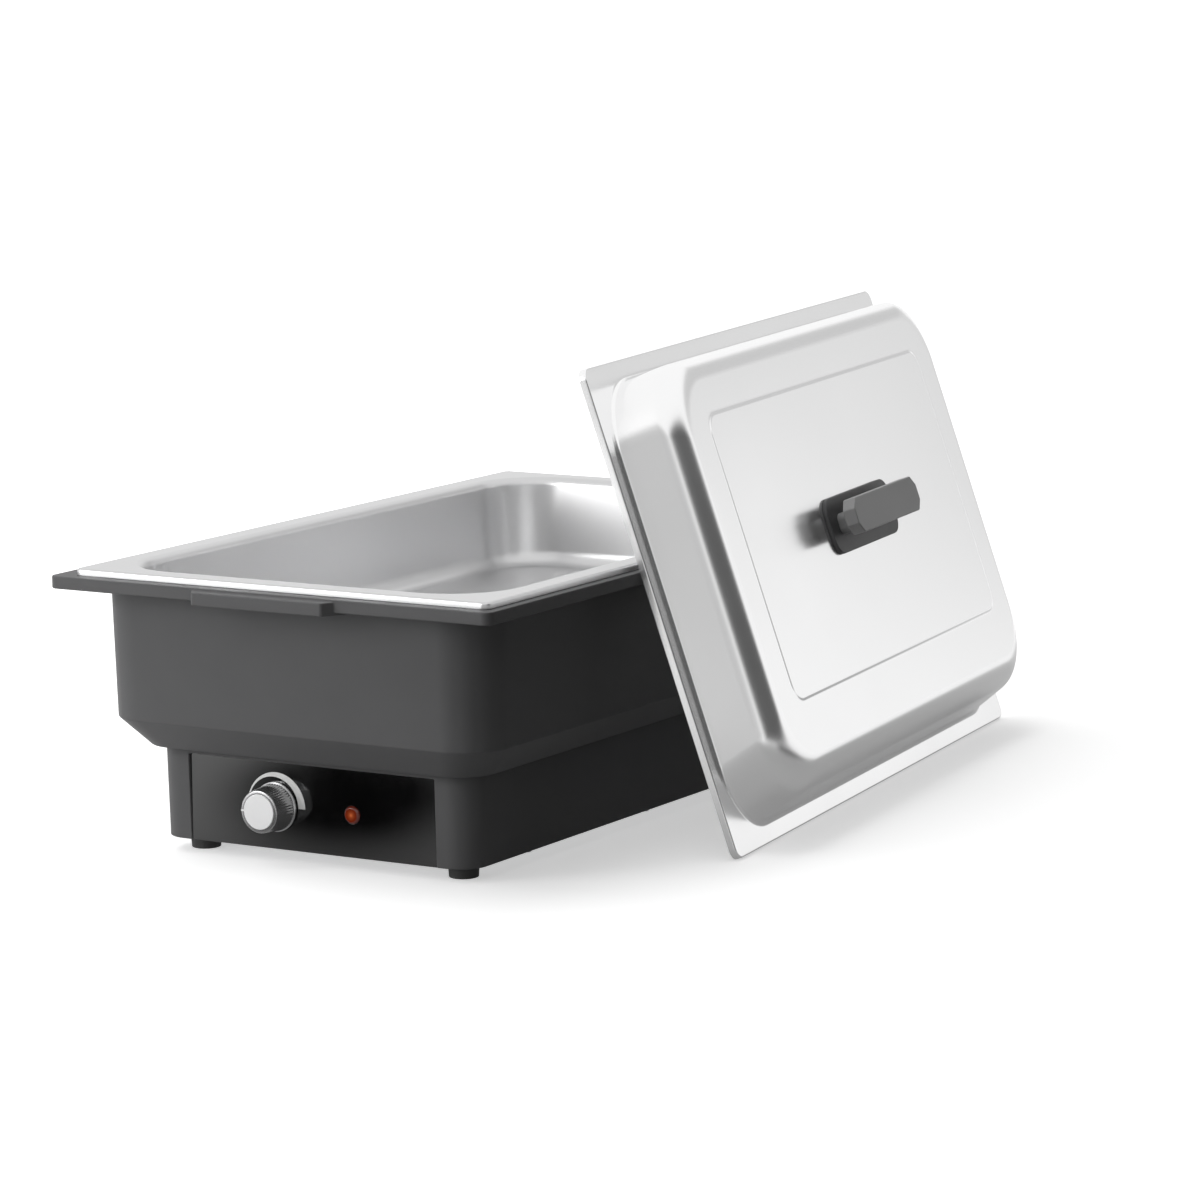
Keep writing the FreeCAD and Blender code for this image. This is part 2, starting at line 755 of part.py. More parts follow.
def feet():
    """Four rubber feet, each held by a screw and a nut on the bottom plate."""
    screws = []
    nuts = []
    names = ("front_left", "rear_left", "front_right", "rear_right")
    for where, (x, y) in zip(names, both_ways("foot_x", "foot_y")):
        rubber = cone(f"{where}_rubber", "foot_radius - foot_flare", "foot_radius", PLATE_UNDER, x, y)
        hole = cylinder(f"{where}_foot_hole", "screw_radius + screw_gap", "drill_length", x, y, "-1")
        recess = cylinder(f"{where}_foot_recess", "screw_head_radius + screw_gap", "foot_recess + 1", x, y,
                          "-1")
        keep(f"foot_{where}", cut(f"foot_{where}", rubber, [hole, recess]))
        head = cylinder(
            f"{where}_foot_head", "screw_head_radius", "screw_head_height", x, y,
            "foot_recess - screw_head_height")
        length = f"{PLATE_TOP} + nut_height + 1 - foot_recess"
        shank = cylinder(f"{where}_foot_shank", "screw_radius", length, x, y, "foot_recess")
        screws.append(join(f"{where}_foot_screw", [head, shank]))
        blank = hexagon(f"{where}_nut_blank", "nut_radius", "nut_height", x, y, PLATE_TOP)
        bore = cylinder(f"{where}_nut_bore", "screw_radius", "nut_height + 2", x, y, f"{PLATE_TOP} - 1")
        nuts.append(cut(f"{where}_foot_nut", blank, [bore]))
    keep("foot_screws", group("foot_screws", screws))
    keep("foot_nuts", group("foot_nuts", nuts))


# Water tank and heating

STUDS = both_ways("stud_x", "stud_y")


def water_tank():
    """The stainless water basin with its rim in the frame's pocket and four studs under its floor."""
    rim = slab("tank_rim", "tank_rim_width", "tank_rim_length", "tank_rim_corner",
               f"{TANK_TOP} - tank_sheet", "tank_sheet")
    outside = bowl("tank_outside", "tank_width", "tank_length", "tank_corner", TANK_TOP,
                   f"{TANK_TOP} - ({TANK_UNDER})", "tank_draft", "tank_floor_round")
    inside = bowl("tank_inside", "tank_width - 2 * tank_sheet", "tank_length - 2 * tank_sheet",
                  "tank_corner - tank_sheet", f"{TANK_TOP} + 1", f"{TANK_TOP} + 1 - tank_floor", "tank_draft",
                  "tank_floor_round - tank_sheet")
    studs = [
        cylinder(f"stud_{i}", "stud_radius", "stud_length + tank_sheet / 2", x, y,
                 f"{TANK_UNDER} - stud_length")
        for i, (x, y) in enumerate(STUDS)
    ]
    basin = cut("tank_basin", join("tank_solid", [rim, outside]), [inside])
    keep("water_tank", join("water_tank", [basin] + studs))


def tank_seal():
    outside = slab("seal_outside", "tank_rim_width", "tank_rim_length", "tank_rim_corner",
                   f"{TANK_TOP} - tank_sheet - seal_thickness", "seal_thickness")
    inside = slab("seal_inside", "tank_width + 2 * seal_inset", "tank_length + 2 * seal_inset",
                  "tank_corner + seal_inset", f"{TANK_TOP} - tank_sheet - seal_thickness - 1",
                  "seal_thickness + 2")
    keep("tank_seal", cut("tank_seal", outside, [inside]))


def heat_plate():
    """The aluminium plate that spreads the element's heat under the tank."""
    blank = slab("heat_plate_blank", "heat_plate_width", "heat_plate_length", "spacer_radius",
                 HEAT_UNDER, "heat_plate_thickness")
    holes = [
        cylinder(f"heat_plate_hole_{i}", "stud_radius + screw_gap", "heat_plate_thickness + 2", x, y,
                 f"{HEAT_UNDER} - 1")
        for i, (x, y) in enumerate(STUDS)
    ]
    keep("heat_plate", cut("heat_plate", blank, holes))


def heating_element():
    """A tube of four legs and three bends, with cold pins at its two front ends."""
    height = f"{HEAT_UNDER} - element_radius"
    rear_end = "element_leg / 2"
    pieces = []
    for i in range(4):
        leg = cylinder(f"element_leg_{i}", "element_radius", "element_leg")
        leg.Placement.Rotation = FreeCAD.Rotation(VECTOR(1, 0, 0), -90)
        place(leg, f"({2 * i - 3}) * element_bend", "-(element_leg / 2)", height)
        pieces.append(leg)
    for i, (centre, end, start) in enumerate(((-2, rear_end, 0), (0, f"-({rear_end})", 180),
                                              (2, rear_end, 0))):
        bend = document.addObject("Part::Torus", f"element_bend_{i}")
        bind(bend, Radius1="element_bend", Radius2="element_radius")
        bend.Angle3 = 180
        bend.Placement.Rotation = FreeCAD.Rotation(VECTOR(0, 0, 1), start)
        place(bend, f"({centre}) * element_bend", end, height)
        pieces.append(bend)
    for i, side in enumerate((-3, 3)):
        pin = cylinder(f"element_pin_{i}", "element_pin_radius", "element_pin_length")
        pin.Placement.Rotation = FreeCAD.Rotation(VECTOR(1, 0, 0), 90)
        place(pin, f"({side}) * element_bend", "-(element_leg / 2)", height)
        pieces.append(pin)
    keep("heating_element", join("heating_element", pieces))


def reflector_tray():
    """The folded tray that throws the heat back up, hung on the studs below the element."""
    outside = slab("tray_outside", "tray_width", "tray_length", "spacer_radius", TRAY_UNDER,
                   "tray_sheet + tray_edge")
    inside = slab("tray_inside", "tray_width - 2 * tray_sheet", "tray_length - 2 * tray_sheet",
                  "spacer_radius - tray_sheet", TRAY_TOP, "tray_edge + 1")
    holes = [
        cylinder(f"tray_hole_{i}", "stud_radius + screw_gap", "drill_length", x, y, f"{TRAY_UNDER} - 1")
        for i, (x, y) in enumerate(STUDS)
    ]
    window = cylinder("tray_window_cut", "tray_window", "drill_length", "0", "cutout_y", f"{TRAY_UNDER} - 1")
    slot = box("tray_sensor_slot", "slot_width", "slot_length", "drill_length", "-(2 * element_bend)",
               "slot_y",
               f"{TRAY_UNDER} - 1")
    notches = [
        box(f"tray_pin_notch_{i}", "notch_width", "notch_length", "drill_length", f"({side}) * element_bend",
            "notch_y", f"{TRAY_UNDER} - 1")
        for i, side in enumerate((-3, 3))
    ]
    keep("reflector_tray", cut("reflector_tray", outside, [inside, window, slot] + holes + notches))


def tray_spacers():
    spacers = []
    for i, (x, y) in enumerate(STUDS):
        tube = cylinder(f"spacer_tube_{i}", "spacer_radius", "spacer_length", x, y, TRAY_TOP)
        bore = cylinder(f"spacer_bore_{i}", "stud_radius + screw_gap", "spacer_length + 2", x, y,
                        f"{TRAY_TOP} - 1")
        spacers.append(cut(f"spacer_{i}", tube, [bore]))
    keep("tray_spacers", group("tray_spacers", spacers))


def tank_nuts():
    nuts = []
    for i, (x, y) in enumerate(STUDS):
        blank = hexagon(f"tank_nut_blank_{i}", "nut_radius + tank_nut_margin", "nut_height", x, y,
                        f"{TRAY_UNDER} - nut_height")
        bore = cylinder(f"tank_nut_bore_{i}", "stud_radius", "nut_height + 2", x, y,
                        f"{TRAY_UNDER} - nut_height - 1")
        nuts.append(cut(f"tank_nut_{i}", blank, [bore]))
    keep("tank_nuts", group("tank_nuts", nuts))


def thermal_cutout():
    """The round safety cut-out on the heat plate, with its two blades."""
    can = cylinder("cutout_can", "cutout_radius", "cutout_height", "0", "cutout_y",
                   f"{HEAT_UNDER} - cutout_height")
    collar = cylinder("cutout_collar", "cutout_radius + collar_margin", "collar_height", "0", "cutout_y",
                      f"{HEAT_UNDER} - collar_height")
    blades = [
        box(f"cutout_blade_{i}", "blade_thickness", "blade_width", "blade_length + 1",
            f"{side} * cutout_blade_x",
            "cutout_y", f"{HEAT_UNDER} - cutout_height - blade_length")
        for i, side in enumerate((-1, 1))
    ]
    keep("thermal_cutout", join("thermal_cutout", [can, collar] + blades))


# Round tubes that follow a route: straight runs joined by arcs

def tube(name, radius, route, bend):
    """A tube along a route of points; each corner is an arc that touches both of its runs."""
    points = [VECTOR(*[number(value) for value in point]) for point in route]
    edges = []
    start = points[0]
    for before, corner, after in zip(points, points[1:], points[2:]):
        into = (corner - before).normalize()
        out = (after - corner).normalize()
        half_turn = into.getAngle(out) / 2
        back = number(bend) * math.tan(half_turn)
        entry = corner - into * back
        leave = corner + out * back
        inward = (out - into).normalize()
        centre = corner + inward * (number(bend) / math.cos(half_turn))
        middle = centre + (corner - centre).normalize() * number(bend)
        edges.append(Part.LineSegment(start, entry).toShape())
        edges.append(Part.Arc(entry, middle, leave).toShape())
        start = leave
    edges.append(Part.LineSegment(start, points[-1]).toShape())
    path = Part.Wire(edges)
    first = (points[1] - points[0]).normalize()
    profile = Part.Wire([Part.Circle(points[0], first, number(radius)).toShape()])
    feature = document.addObject("Part::Feature", name)
    feature.Shape = path.makePipeShell([profile], True, False)
    return feature


# Control panel, lamp, thermostat and knob

def control_panel():
    """The gloss panel in the base's recess; its local Z points out of the front."""
    low = "-(control_height - base_bottom)"
    blank = box("panel_blank", "panel_width", "panel_height", "panel_thickness", "0",
                f"{low} + panel_height / 2")
    neck = cylinder("panel_neck_hole", "neck_radius + screw_gap", "drill_length", "knob_x", "0", "-4")
    lamp = cylinder("panel_lamp_hole", "lens_radius + screw_gap", "drill_length", "lamp_x", "0", "-4")
    screws = [
        cylinder(f"panel_screw_hole_{i}", "screw_head_radius + screw_gap", "drill_length",
                 f"knob_x + {side} * thermostat_screw_spread", "0", "-4")
        for i, side in enumerate((-1, 1))
    ]
    panel = cut("control_panel", blank, [neck, lamp] + screws)
    keep("control_panel", facing_front(panel, "0", PANEL_BACK, "control_height"))


def panel_scale():
    """The printed heat scale: a half ring over the knob that grows from a hair to a broad band."""
    outer = cylinder("scale_outer", "scale_radius", "print_thickness")
    inner = cylinder("scale_inner", "scale_radius - (scale_thin + scale_thick) / 2", "print_thickness + 2",
                     "(scale_thin - scale_thick) / 2", "0", "-1")
    lower = box("scale_lower_cut", "3 * scale_radius", "2 * scale_radius", "print_thickness + 2",
                "0", "-scale_radius", "-1")
    scale = cut("panel_scale", outer, [inner, lower])
    keep("panel_scale", facing_front(scale, "knob_x", PANEL_FACE, "control_height"))


def pilot_lamp():
    """The amber lens in the panel and the lamp body behind it."""
    disc = cylinder("lens_disc", "lens_radius", "panel_thickness + panel_recess * 0.4", "0", "0", "0")
    crown = cone("lens_crown", "lens_radius", "lens_radius - lens_proud", "lens_proud",
                 "0", "0", "panel_thickness + panel_recess * 0.4")
    lens = join("pilot_lens", [disc, crown])
    keep("pilot_lens", facing_front(lens, "lamp_x", PANEL_BACK, "control_height"))
    barrel = cylinder("lamp_barrel", "lamp_radius", "lamp_length", "0", "0", "-lamp_length")
    collar = cylinder("lamp_flange", "lamp_radius + lamp_collar", "lamp_collar", "0", "0",
                      "-(panel_backing + lamp_collar)")
    blades = [
        box(f"lamp_blade_{i}", "blade_thickness", "lamp_blade_width", "blade_length",
            f"{side} * lamp_blade_x", "0",
            "-lamp_length - blade_length")
        for i, side in enumerate((-1, 1))
    ]
    lamp = join("pilot_lamp_body", [barrel, collar] + blades)
    keep("pilot_lamp_body", facing_front(lamp, "lamp_x", PANEL_BACK, "control_height"))


def thermostat():
    """The thermostat's body, its shaft, the two screws that hold it and its sensor."""
    case = box("thermostat_case", "thermostat_width", "thermostat_height", "thermostat_depth",
               "0", "0", "-thermostat_depth")
    neck = cylinder("thermostat_neck", "neck_radius", "panel_backing + panel_thickness + thermostat_depth",
                    "0", "0", "-thermostat_depth")
    tabs = [
        box(f"thermostat_tab_{i}", "blade_thickness", "blade_width", "blade_length",
            f"{side} * thermostat_blade_x",
            "thermostat_blade_rise", "-thermostat_depth - blade_length")
        for i, side in enumerate((-1, 1))
    ]
    shaft_room = cylinder("shaft_room", "shaft_radius + shaft_gap", "shaft_tail + drill_length", "0", "0",
                          "-shaft_tail")
    screw_rooms = [
        cylinder(f"thermostat_screw_room_{i}", "screw_radius", "thermostat_screw_reach + 3",
                 f"{side} * thermostat_screw_spread", "0", "-thermostat_screw_reach - 2")
        for i, side in enumerate((-1, 1))
    ]
    control = cut("thermostat_body", join("thermostat_solid", [case, neck] + tabs),
                  [shaft_room] + screw_rooms)
    keep("thermostat_body", facing_front(control, "knob_x", WALL_BACK, "control_height"))
    screws = []
    for i, side in enumerate((-1, 1)):
        x = f"{side} * thermostat_screw_spread"
        head = cylinder(f"thermostat_head_{i}", "screw_head_radius", "panel_thickness", x, "0",
                        "panel_backing")
        shank = cylinder(f"thermostat_shank_{i}", "screw_radius", "panel_backing + thermostat_screw_reach",
                         x, "0",
                         "-thermostat_screw_reach")
        screws.append(join(f"thermostat_screw_{i}", [head, shank]))
    both = group("thermostat_screws", screws)
    keep("thermostat_screws", facing_front(both, "knob_x", WALL_BACK, "control_height"))
    bulb_height = f"{HEAT_UNDER} - bulb_radius"
    bulb = cylinder("sensor_bulb", "bulb_radius", "bulb_length")
    bulb.Placement.Rotation = FreeCAD.Rotation(VECTOR(1, 0, 0), 90)
    place(bulb, "-(2 * element_bend)", "bulb_front + bulb_length", bulb_height)
    top = "control_height + thermostat_height / 2"
    drop = "-(heat_plate_length / 2 - capillary_rise)"
    entry = f"{WALL_BACK} + thermostat_depth / 2"
    capillary = tube(
        "sensor_capillary", "capillary_radius",
        [
            ("-(2 * element_bend)", "bulb_front + 1", bulb_height),
            ("-(2 * element_bend)", drop, bulb_height),
            ("-(2 * element_bend)", drop, f"{top} + capillary_rise"),
            ("-capillary_exit", entry, f"{top} + capillary_rise"),
            ("-capillary_exit", entry, top),
        ], "capillary_bend",
    )
    keep("thermostat_sensor", join("thermostat_sensor", [bulb, capillary]))


def thermostat_shaft():
    """The shaft that the knob turns: it ends in the knob's bore and has a flat there."""
    length = "shaft_tail - 1 + panel_backing + panel_thickness + knob_gap + knob_bore_depth"
    rod = cylinder("shaft_rod", "shaft_radius", length, "0", "0", "-(shaft_tail - 1)")
    flat = box("shaft_flat", "2 * shaft_radius", "3 * shaft_radius", "drill_length",
               "2 * shaft_radius - shaft_flat_cut", "0", "panel_backing + panel_thickness + knob_gap + 1")
    shaft = cut("thermostat_shaft", rod, [flat])
    keep("thermostat_shaft", facing_front(shaft, "knob_x", WALL_BACK, "control_height"))


def knob():
    """The fluted knob with its metal cap and its pointer, which rests at nine o'clock."""
    body = new_body("knob_blank")
    count = int(number("knob_flutes"))

    def ribbed(name, radius, level):
        """The knob's ribbed outline: points in turn on the ribs and in the flutes."""
        corners = []
        for i in range(2 * count):
            reach = f"({radius} - flute_depth * {i % 2})"
            angle = (i + 0.5) * 180 / count
            corners.append((f"{reach} * cos({angle})", f"{reach} * sin({angle})"))
        return polygon_outline(body, name, corners, level)

    loft = body.newObject("PartDesign::AdditiveLoft", "knob_loft")
    loft.Profile = ribbed("knob_back", "knob_back_radius", "0")
    loft.Sections = [ribbed("knob_front", "knob_front_radius", "knob_length")]
    loft.Ruled = True
    document.recompute()
    bore = cylinder("knob_bore", "shaft_radius", "knob_bore_depth + 1", "0", "0", "-1")
    cap_seat = cylinder("cap_seat", "cap_radius + screw_gap", "cap_depth + 1", "0", "0",
                        "knob_length - cap_depth")
    groove = box("pointer_groove", "knob_front_radius", "pointer_width", "pointer_depth + 2",
                 "-(cap_radius - 2 + knob_front_radius / 2)", "0", "knob_length - pointer_depth")
    cap = cylinder("cap_disc", "cap_radius", "cap_depth + cap_proud", "0", "0", "knob_length - cap_depth")
    bar = box("pointer_bar", "knob_front_radius - flute_depth - cap_radius - 0.3", "pointer_width - 0.1",
              "pointer_depth + 0.1", "-(cap_radius + knob_front_radius - flute_depth + 0.1) / 2", "0",
              "knob_length - pointer_depth")
    finished = {
        "knob_body": cut("knob_body", body, [bore, cap_seat, groove]),
        "knob_cap": group("knob_cap", [cap]),
        "knob_pointer": group("knob_pointer", [bar]),
    }
    for label, shape in finished.items():
        keep(label, facing_front(shape, "knob_x", f"{PANEL_FACE} - knob_gap", "control_height"))


# Mains lead gland and wiring

def cord_gland():
    """The gland that a mains lead comes in by; its local Z points out of the rear."""
    wall = "base_wall"
    flange = cylinder("gland_collar", "gland_flange", "gland_flange_thickness", "0", "0", wall)
    nose = cone("gland_nose_cone", "gland_flange - gland_shelf", "gland_tip", "gland_nose", "0", "0",
                f"{wall} + gland_flange_thickness")
    sleeve = cylinder("gland_sleeve_tube", "gland_sleeve", f"{wall} + gland_inner_length + 0.5", "0", "0",
                      "-gland_inner_length")
    bore = cylinder("gland_lead_bore", "gland_bore", "gland_inner_length + gland_nose + drill_length", "0",
                    "0",
                    "-gland_inner_length - 1")
    gland = cut("cord_gland", join("gland_solid", [flange, nose, sleeve]), [bore])
    keep("cord_gland", facing_rear(gland, "gland_x", GLAND_SEAT, "control_height"))
    blank = hexagon("gland_nut_blank", "gland_flange + gland_nut_margin", "gland_nut_height", "0", "0",
                    "-(gland_nut_height + gland_nut_gap)")
    hole = cylinder("gland_nut_bore", "gland_sleeve", "gland_nut_height + 2", "0", "0",
                    "-(gland_nut_height + gland_nut_gap + 1)")
    nut = cut("gland_nut", blank, [hole])
    keep("gland_nut", facing_rear(nut, "gland_x", GLAND_SEAT, "control_height"))


def terminal_block():
    """The block where the mains lead meets the inner wires, on the bottom plate."""
    body = box("block_body", "block_width", "block_length", "block_height", "block_x", "block_y", PLATE_TOP)
    ways = []
    for i in range(3):
        x = f"block_x + ({i - 1}) * way_spacing"
        way = cylinder(f"block_way_{i}", "wire_radius + way_play", "block_length + 2")
        way.Placement.Rotation = FreeCAD.Rotation(VECTOR(1, 0, 0), -90)
        ways.append(place(way, x, "block_y - block_length / 2 - 1", f"{PLATE_TOP} + way_height"))
        ways.append(cylinder(f"block_screw_way_{i}", "way_screw_radius", "block_height", x, "block_y",
                             f"{PLATE_TOP} + way_screw_height"))
    keep("terminal_block", cut("terminal_block", body, ways))


def internal_wires():
    """Insulated wires between the block, the thermostat, the cut-out, the lamp and the element."""
    start = "block_y - block_length / 2 + wire_start"
    low = f"{PLATE_TOP} + way_height"
    tab_rear = f"{WALL_BACK} + thermostat_depth + blade_length + wire_gap"
    tab_height = "control_height + thermostat_blade_rise"
    blade_low = f"{HEAT_UNDER} - cutout_height - blade_length - wire_gap"
    pin_height = f"{HEAT_UNDER} - element_radius"
    pin_x = "3 * element_bend"
    pin_end = "-(element_leg / 2 + element_pin_length)"
    before_pin = f"{pin_end} - 4 * wire_bend"
    before_tab = f"{tab_rear} + 10 * wire_bend"
    lamp_rear = f"{PANEL_BACK} + lamp_length + blade_length + wire_gap"
    live_x = "knob_x - thermostat_blade_x"
    switched_x = "knob_x + thermostat_blade_x"
    lamp_wire_x = "lamp_x + lamp_blade_x"
    neutral_x = "block_x + way_spacing"
    middle = "block_y / 2"
    reach = "(8 * wire_bend)"
    routes = {
        "live": [
            ("block_x - way_spacing", start, low),
            ("block_x - way_spacing", middle, low),
            (live_x, f"-({middle}) / 2", low),
            (live_x, before_tab, tab_height),
            (live_x, tab_rear, tab_height),
        ],
        "switched": [
            (switched_x, tab_rear, tab_height),
            (switched_x, before_tab, tab_height),
            ("-cutout_blade_x", f"cutout_y - {reach}", "wire_middle"),
            ("-cutout_blade_x", "cutout_y", "wire_middle"),
            ("-cutout_blade_x", "cutout_y", blade_low),
        ],
        "heater_live": [
            ("cutout_blade_x", "cutout_y", blade_low),
            ("cutout_blade_x", "cutout_y", "wire_high"),
            (f"cutout_blade_x + {reach}", f"cutout_y - 2 * {reach}", "wire_high"),
            (f"-({pin_x})", before_pin, "wire_high"),
            (f"-({pin_x})", before_pin, pin_height),
            (f"-({pin_x})", pin_end, pin_height),
        ],
        "heater_neutral": [
            ("block_x", start, low),
            ("block_x", middle, low),
            (pin_x, "0", "wire_low"),
            (pin_x, before_pin, "wire_middle"),
            (pin_x, before_pin, pin_height),
            (pin_x, pin_end, pin_height),
        ],
        "lamp_neutral": [
            (neutral_x, start, low),
            (neutral_x, middle, low),
            (lamp_wire_x, f"-({middle})", low),
            (lamp_wire_x, f"{lamp_rear} + 5 * wire_bend", "control_height"),
            (lamp_wire_x, lamp_rear, "control_height"),
        ],
    }
    wires = [tube(f"wire_{name}", "wire_radius", route, "wire_bend") for name, route in routes.items()]
    keep("internal_wires", group("internal_wires", wires))


# Food pan

def gn_pan():
    """The lift-out food pan: a flat rim with a turned-down lip and a drawn bowl with a rounded floor."""
    rim = slab("pan_rim", "pan_width", "pan_length", "pan_corner", f"{PAN_TOP} - pan_sheet", "pan_sheet")
    lip = slab("pan_lip_outside", "pan_width", "pan_length", "pan_corner", f"{PAN_TOP} - pan_lip", "pan_lip")
    lip_room = slab("pan_lip_inside", "pan_width - 2 * pan_sheet", "pan_length - 2 * pan_sheet",
                    "pan_corner - pan_sheet", f"{PAN_TOP} - pan_lip - 1", "pan_lip + 2")
    outside = bowl("pan_outside", "pan_bowl_width", "pan_bowl_length", "pan_bowl_corner", PAN_TOP,
                   "pan_depth", "pan_draft", "pan_floor_round")
    inside = bowl("pan_inside", "pan_bowl_width - 2 * pan_sheet", "pan_bowl_length - 2 * pan_sheet",
                  "pan_bowl_corner - pan_sheet", f"{PAN_TOP} + 1", "pan_depth + 1 - pan_sheet", "pan_draft",
                  "pan_floor_round - pan_sheet")
    solid = join("pan_solid", [rim, cut("pan_lip_ring", lip, [lip_room]), outside])
    keep("gn_pan", place(cut("gn_pan", solid, [inside]), "pan_shift_x", "pan_shift_y"))


# Lid, drawn lying flat: local X along its length, local Y across it and local Z out of the dome

def lid_axes():
    """The lid's three directions when it leans: along its length, up its width and out of its dome."""
    turn, slope = math.radians(number("lid_turn")), math.radians(number("lid_slope"))
    along = VECTOR(-math.sin(turn), math.cos(turn), 0)
    out = VECTOR(math.cos(turn) * math.cos(slope), math.sin(turn) * math.cos(slope), math.sin(slope))
    return along, out.cross(along), out


def lid_placement():
    """The lid stands on its long skirt, which meets the frame's right edge near the lid's front end."""
    along, up, out = lid_axes()
    height = up.z * number("lid_width") / 2 + out.z * number("lid_skirt")
    front = along * (-number("lid_length") / 2) - out * number("lid_skirt")
    rise = (number("frame_top") - height - front.z) / up.z
    touch = front + up * rise
    origin = VECTOR(number("frame_width") / 2 + number("lid_clearance") - touch.x, number("lid_along"),
                    height)
    matrix = FreeCAD.Matrix(
        along.x, up.x, out.x, origin.x,
        along.y, up.y, out.y, origin.y,
        along.z, up.z, out.z, origin.z,
        0, 0, 0, 1,
    )
    return FreeCAD.Placement(matrix)


def keep_on_lid(label, shape):
    """Keeps a piece that is drawn in the lid's own frame, in the leaning lid's place."""
    keep(label, shape)
    shape.Placement = lid_placement()


DOME_STEPS = (0, 15, 30, 45, 60, 75, 90)


def dome(name, set_in, drop):
    """The dome's outside, or its inside when set in by the sheet; its crest is rounded in steps."""
    body = new_body(name)
    length = f"lid_length - 2 * flange_strip - 2 * ({set_in})"
    width = f"lid_width - 2 * flange_strip - 2 * ({set_in})"
    corner = f"dome_corner - ({set_in})"
    crest = f"(dome_round - ({set_in}))"
    top = f"(dome_height - ({set_in}))"
    sections = [rounded_outline(body, name + "_foot", length, width, corner, f"-({drop})")]
    for step in DOME_STEPS:
        level = f"({top} - {crest} + {crest} * sin({step}))"
        inset = f"(dome_run * {level} / dome_height + {crest} * (1 - cos({step})))"
        sections.append(rounded_outline(
            body, f"{name}_{step}", f"{length} - 2 * {inset}", f"{width} - 2 * {inset}",
            f"{corner} - {inset}",
            level, f"dome_lean * {level} / dome_height"))
    loft = body.newObject("PartDesign::AdditiveLoft", name + "_loft")
    loft.Profile = sections[0]
    loft.Sections = sections[1:]
    loft.Ruled = True
    document.recompute()
    return body


def raised_field(name, set_in, low):
    """The raised panel on the dome's top, with bevelled sides."""
    grow = "2 * field_bevel"
    shrink = f"2 * ({set_in})"
    body = new_body(name)
    below = rounded_outline(
        body, name + "_lower", f"field_length + {grow} - {shrink}", f"field_width + {grow} - {shrink}",
        "field_corner + field_bevel", low, "field_shift")
    foot = rounded_outline(
        body, name + "_middle", f"field_length + {grow} - {shrink}", f"field_width + {grow} - {shrink}",
        "field_corner + field_bevel", f"dome_height - ({set_in})", "field_shift")
    above = rounded_outline(
        body, name + "_upper", f"field_length - {shrink}", f"field_width - {shrink}", "field_corner",
        f"dome_height + field_rise - ({set_in})", "field_shift")
    loft = body.newObject("PartDesign::AdditiveLoft", name + "_loft")
    loft.Profile = below
    loft.Sections = [foot, above]
    loft.Ruled = True
    document.recompute()
    return body


HANDLE_POSTS = [("-(post_spread / 2)", "field_shift"), ("post_spread / 2", "field_shift")]
FIELD_TOP = "dome_height + field_rise"


def lid_shell():
    """The pressed lid: flange, turned-back skirt, dome and raised field, with two screw holes."""
    flange = slab("lid_flange", "lid_length", "lid_width", "lid_corner", "-lid_sheet", "lid_sheet")
    skirt = slab("lid_skirt_outside", "lid_length", "lid_width", "lid_corner", "-lid_skirt", "lid_skirt")
    skirt_room = slab("lid_skirt_inside", "lid_length - 2 * lid_sheet", "lid_width - 2 * lid_sheet",
                      "lid_corner - lid_sheet", "-lid_skirt - 1", "lid_skirt + 2")
    outside = join("lid_outside", [
        flange, cut("lid_skirt_ring", skirt, [skirt_room]),
        dome("dome_outside", "0", "lid_sheet"), raised_field("field_outside", "0", "dome_height - 2"),
    ])
    inside = join("lid_inside", [
        dome("dome_inside", "lid_sheet", "lid_sheet + 2"),
        raised_field("field_inside", "lid_sheet", "dome_height - 3"),
    ])
    holes = [
        cylinder(f"lid_screw_hole_{i}", "handle_screw_radius + screw_gap", "drill_length", x, y,
                 "dome_height - drill_length / 2")
        for i, (x, y) in enumerate(HANDLE_POSTS)
    ]
    keep_on_lid("lid_shell", cut("lid_shell", outside, [inside] + holes))


def handle_plate():
    """The black plate between the lid and the grip."""
    body = new_body("handle_plate_body")
    sketch = rounded_outline(body, "handle_plate_outline", "handle_plate_length", "handle_plate_width",
                             "handle_plate_corner", FIELD_TOP, "field_shift")
    pad(body, sketch, "handle_plate_thickness")
    holes = [
        cylinder(f"handle_plate_hole_{i}", "handle_screw_radius + screw_gap", "drill_length", x, y,
                 f"{FIELD_TOP} - 1")
        for i, (x, y) in enumerate(HANDLE_POSTS)
    ]
    keep_on_lid("handle_plate", cut("handle_plate", body, holes))


